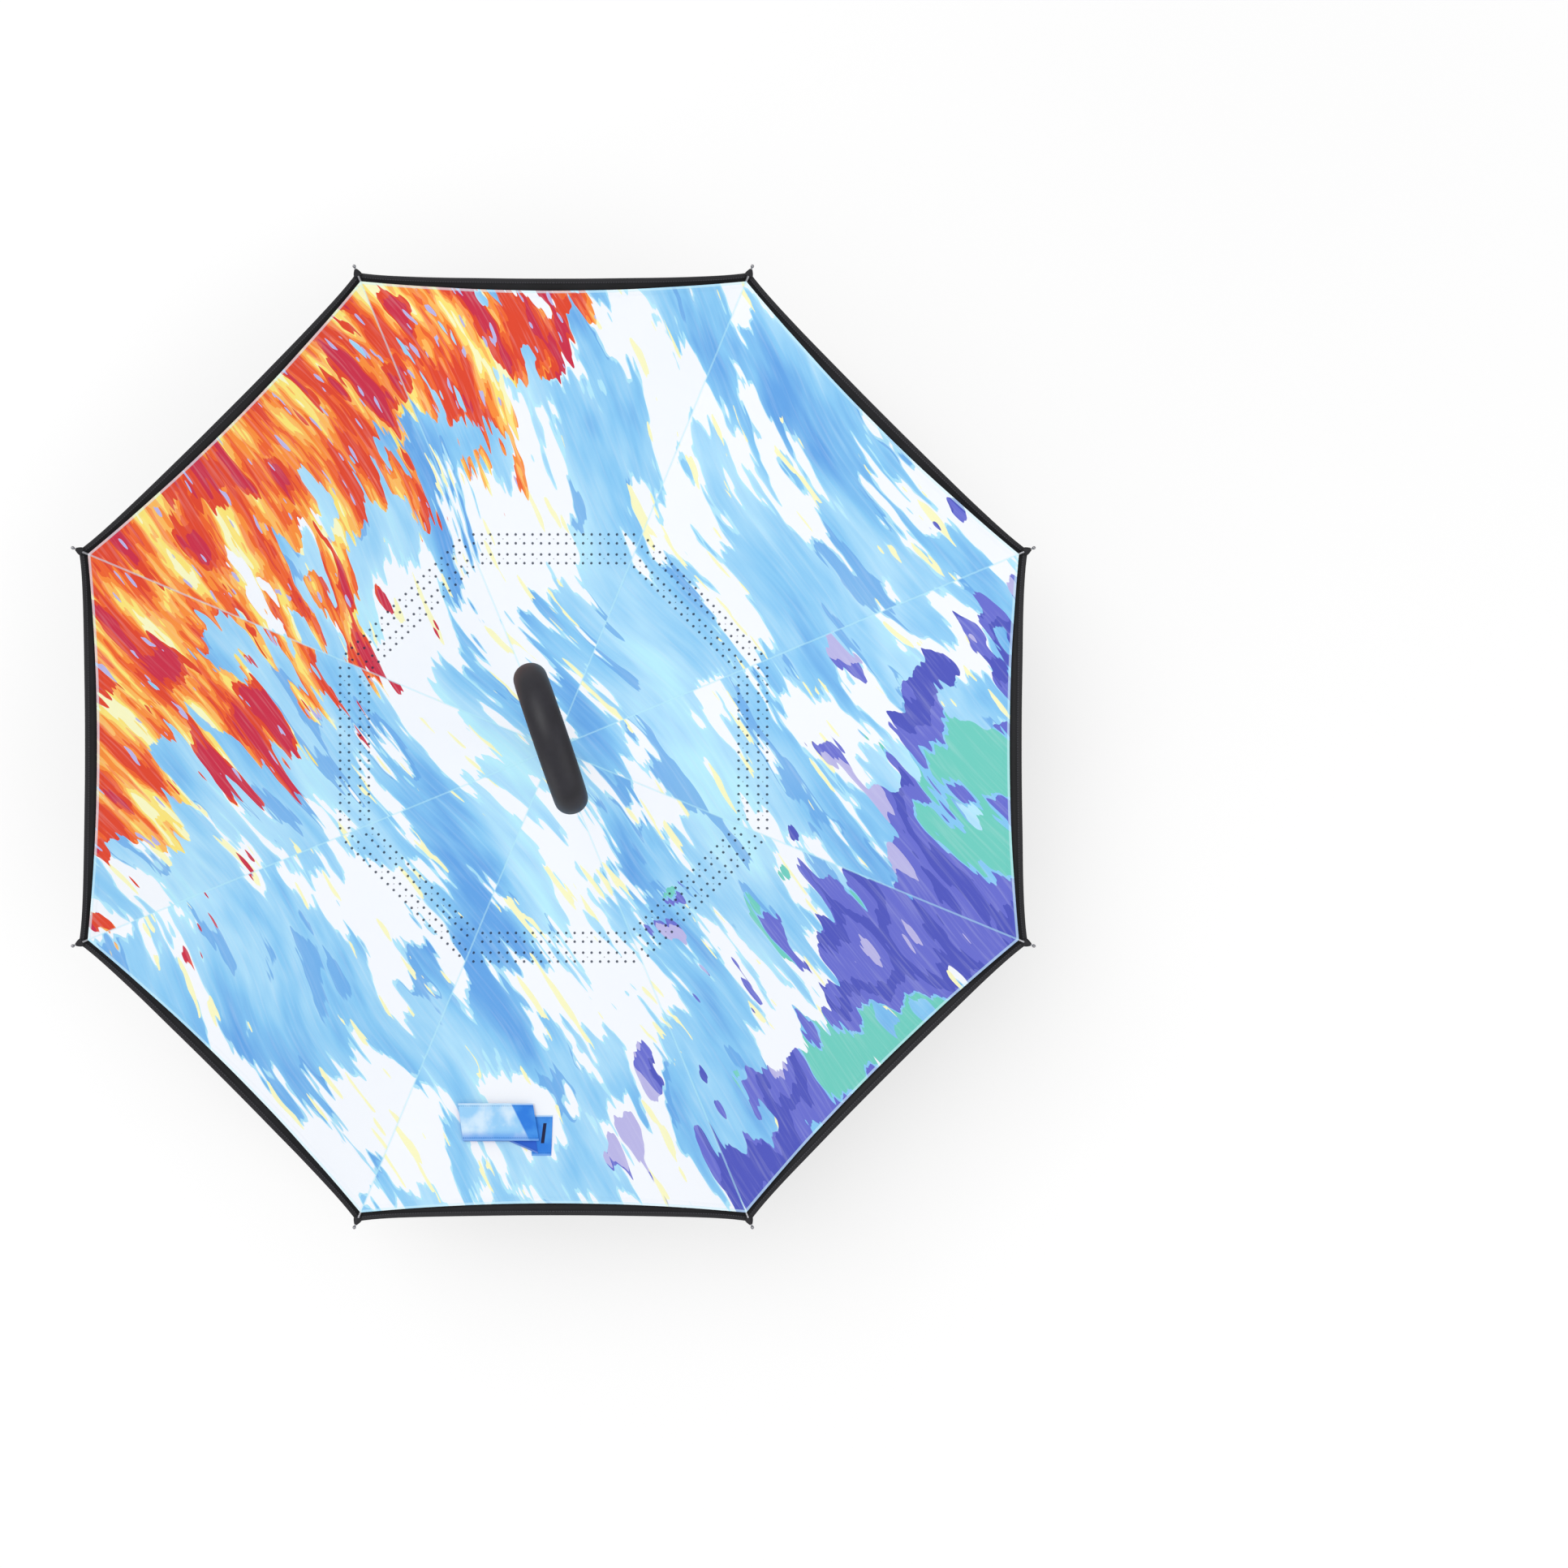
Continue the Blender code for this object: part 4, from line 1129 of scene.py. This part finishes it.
# Closing strap and tab
# A blue band of the same cloth, doubled over on itself and stitched along its edges, with the touch
# fastener's tab beside it; both are sewn to the lining near the hem of one gore.
STRAP_RIB = 5
STRAP_X = (0.3897, 0.4245)
STRAP_Y = (0.019, 0.101)
STRAP_LEAN = -0.007
STRAP_THICK = 0.0005
STRAP_PUFF = 0.0006
LOW_UP = 0.0014
TURN_UP = 0.0029
TOP_UP = 0.0044
UNDER_TOP = 0.0030
TURN_R = 0.0015
TURN_BACK = 0.002
UNDER_SHOWS = 0.0115
LOW_SHORT = (0.001, 0.003)
TOP_PUFF = 0.0007
CREASE = 0.0007
CREASE_AT = 0.065
CREASE_WIDE = 0.006
TAB_X = (0.4004, 0.4376)
TAB_Y = (0.0016, 0.0225)
TAB_LEAN = 0.0015
TAB_UP = 0.0006
SLOT_Y = (0.0078, 0.0114)
SLOT_ALONG = (0.0075, 0.0260)


def strap_cloth(name, has_slot):
    constants = {"Sheen Weight": 0.15, "Sheen Roughness": 0.5, "Specular IOR Level": 0.3}
    made, start = new_finish(name, constants)
    at = place(start)
    edge, run = attribute(start, "from_edge"), attribute(start, "run")
    along, under = attribute(start, "along"), attribute(start, "under")
    cloud = noise_at(start, at, 45.0, 3.0).step(0.36, 0.64)
    deep = cloud.mix(paint(34, 122, 222), paint(66, 148, 232))
    pale = cloud.mix(paint(152, 207, 247), paint(212, 235, 252))
    pale = (along.step(0.024, 0.034) * 0.85).mix(pale, paint(62, 142, 230))
    colour = (run + along * 0.40 - 0.043).step(-0.0012, 0.0012).mix(deep, pale)
    # The under layer is painted a darker blue: painted shade beneath the upper layer.
    colour = under.mix(colour, paint(32, 94, 204))
    upper = (1 - along.step(0.0010, 0.0015)) * (1 - under)
    colour = (upper * 0.8).mix(colour, paint(204, 228, 248))
    hem = 1 - edge.step(0.0014, 0.0020)
    line = 1 - start.math("ABSOLUTE", edge - 0.0026).step(0.0002, 0.0004)
    stitches = line * (start.math("SINE", run * 2600.0) > -0.2)
    colour = (hem * 0.2).mix(colour, paint(190, 226, 250))
    colour = (stitches * 0.5).mix(colour, paint(40, 96, 176))
    height = hem * 0.5 - line * 0.8 + stitches * 0.5
    if has_slot:
        leaning = run - (along - SLOT_ALONG[0]) * 0.10
        slot_y = (leaning > SLOT_Y[0]) * (leaning < SLOT_Y[1])
        slot = slot_y * (along > SLOT_ALONG[0]) * (along < SLOT_ALONG[1])
        # The slot is painted dark navy: painted shade inside the slot.
        colour = slot.mix(colour, paint(10, 16, 62))
        height -= slot * 2.0
    height += noise_at(start, at, 1500.0) * 0.3
    return shaded(made, start, colour, 0.6 + cloud * 0.08, height, 0.0004, 0.6)


def on_lining(x, y, up):
    """A point above the lining, in the frame of the strap's gore: x outwards, y across."""
    low, high = LINING_START, 1.0
    for _ in range(24):
        middle = (low + high) / 2
        if lining_profile(middle)[0] * cos(HALF_STEP) < x:
            low = middle
        else:
            high = middle
    z = lining_profile(low)[1]
    _, slope = rib_curve(low)
    return Vector((x - up * sin(slope), y, z + up * cos(slope)))


def strap_layer(name, path, wide, lean, finish, replaced, doubled):
    """A band of cloth drawn out along the gore from a path of (across, height, shift) points."""
    columns = len(path) - 1
    facing = facing_gore(STRAP_RIB, 1)
    bm, (edge, run, along, under) = grid(columns, 16, "from_edge", "run", "along", "under")
    depth = wide[1] - wide[0]
    for v in bm.verts:
        share = v.co.y + 0.5
        across, up, shift = path[round((v.co.x + 0.5) * columns)]
        v[edge] = min(share, 1 - share) * depth
        v[run] = across
        v[along] = share * depth
        v[under] = 1.0 if doubled and up < UNDER_TOP else 0.0
        puff = STRAP_PUFF * sin(pi * share)
        sideways = across + lean * (share - 0.5)
        x = wide[0] + shift + depth * share
        v.co = facing @ on_lining(x, -sideways, up + puff)
    for e in bm.edges:
        e.smooth = not e.is_boundary
    bmesh.ops.recalc_face_normals(bm, faces=bm.faces)
    made = linked(name, bm, finish)
    follow_cloth(made)
    wall = made.modifiers.new("thickness", "SOLIDIFY")
    wall.thickness = STRAP_THICK
    wall.offset = 0.0
    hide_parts(replaced)
    length = sum(hypot(b[0] - a[0], b[1] - a[1]) for a, b in zip(path, path[1:]))


def strap_path():
    """Out along the under layer, round the turn, and back along the upper layer."""
    near, far = STRAP_Y
    path = []
    for i in range(31):
        across = near + LOW_SHORT[0] + (far - near - LOW_SHORT[1]) * i / 30
        path.append((across, LOW_UP, UNDER_SHOWS * max(0.0, 1 - i / 12)))
    for i in range(1, 8):
        a = i * pi / 8
        path.append((far - TURN_BACK + TURN_R * sin(a), TURN_UP - TURN_R * cos(a), 0.0))
    for i in range(41):
        across = far - TURN_BACK - (far - near - TURN_BACK) * i / 40
        fold = CREASE * max(0.0, 1 - abs(across - CREASE_AT) / CREASE_WIDE)
        path.append((across, TOP_UP + TOP_PUFF * sin(pi * i / 40) + fold, 0.0))
    return path


plain_blue = strap_cloth("blue_strap", False)
strap_layer("strap_band", strap_path(), STRAP_X, STRAP_LEAN, plain_blue, "strap", True)
tab_low, tab_high = TAB_Y
tab_path = [(tab_low + (tab_high - tab_low) * i / 24, TAB_UP, 0.0) for i in range(25)]
slotted_blue = strap_cloth("blue_tab", True)
strap_layer("strap_tab_patch", tab_path, TAB_X, TAB_LEAN, slotted_blue, "strap_tab", False)


# Studio
# A pale floor under the ferrule, an even white surround, and soft lamps above and to one side.
FLOOR_HALF = 8.0
FLOOR_DOWN = 0.0005
AMBIENT = 0.60
# Place, size and power of each lamp
LAMPS = {
    "key": ((-1.3, 1.2, 2.4), 2.0, 44.0),
    "fill": ((1.8, -1.0, 1.6), 2.2, 17.0),
    "low_fill": ((-1.6, -1.9, 0.1), 1.6, 9.0),
}
AIM = Vector((0, 0, -0.3))
constants = {"Base Color": (0.6, 0.6, 0.6, 1), "Roughness": 0.9, "Specular IOR Level": 0.1}
floor_finish, start = new_finish("pale_floor", constants)
seen = start.node("LightPath", output="Is Camera Ray")
away = place(start).vector("LENGTH")
glow = away.step(1.2, 5.0).mix((0.42, 0.42, 0.42, 1), (1, 1, 1, 1))
start.feed(shader(floor_finish)["Emission Color"], seen.mix((0, 0, 0, 1), glow))
shader(floor_finish)["Emission Strength"].default_value = 1.0
bm = bmesh.new()
bmesh.ops.create_grid(bm, x_segments=2, y_segments=2, size=FLOOR_HALF)
moved(bm, 0, 0, cad_box[0].z - FLOOR_DOWN)
linked("floor", bm, floor_finish)

world = bpy.data.worlds.new("studio")
bpy.context.scene.world = world
world.use_nodes = True
surround = Wire(world.node_tree)
background = world.node_tree.nodes["Background"].inputs
shows = surround.node("LightPath", output="Is Camera Ray")
surround.feed(background["Strength"], AMBIENT + shows * (1 - AMBIENT))
background["Color"].default_value = (1, 1, 1, 1)
for name, (spot, size, power) in LAMPS.items():
    lamp = bpy.data.lights.new(name, "AREA")
    lamp.size = size
    lamp.energy = power
    made = bpy.data.objects.new(name, lamp)
    made.location = spot
    made.rotation_euler = (AIM - Vector(spot)).to_track_quat("-Z", "Y").to_euler()
    bpy.context.scene.collection.objects.link(made)


# Camera
# It stands above the handle, a little off the shaft's axis, and looks down into the open canopy.
FRAME_PIXELS = 1932
FOCAL_PIXELS = 1405
AXIS_PIXEL = (681.75, 920.25)
EYE_ABOVE_TIPS = 1.186
EYE_ASIDE = (0.004, -0.0125)
SENSOR = 36.0
tips_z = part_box("rib_1")[1].z
lens = bpy.data.cameras.new("camera")
lens.sensor_width = SENSOR
lens.lens = SENSOR * FOCAL_PIXELS / FRAME_PIXELS
aside = [FOCAL_PIXELS * a / EYE_ABOVE_TIPS for a in EYE_ASIDE]
lens.shift_x = (FRAME_PIXELS / 2 - AXIS_PIXEL[0] - aside[0]) / FRAME_PIXELS
lens.shift_y = (AXIS_PIXEL[1] - aside[1] - FRAME_PIXELS / 2) / FRAME_PIXELS
lens.clip_start = 0.05
lens.clip_end = 50.0
camera = bpy.data.objects.new("camera", lens)
camera.location = (*EYE_ASIDE, tips_z + EYE_ABOVE_TIPS)
bpy.context.scene.collection.objects.link(camera)
bpy.context.scene.camera = camera
bpy.context.scene.view_settings.view_transform = "Standard"
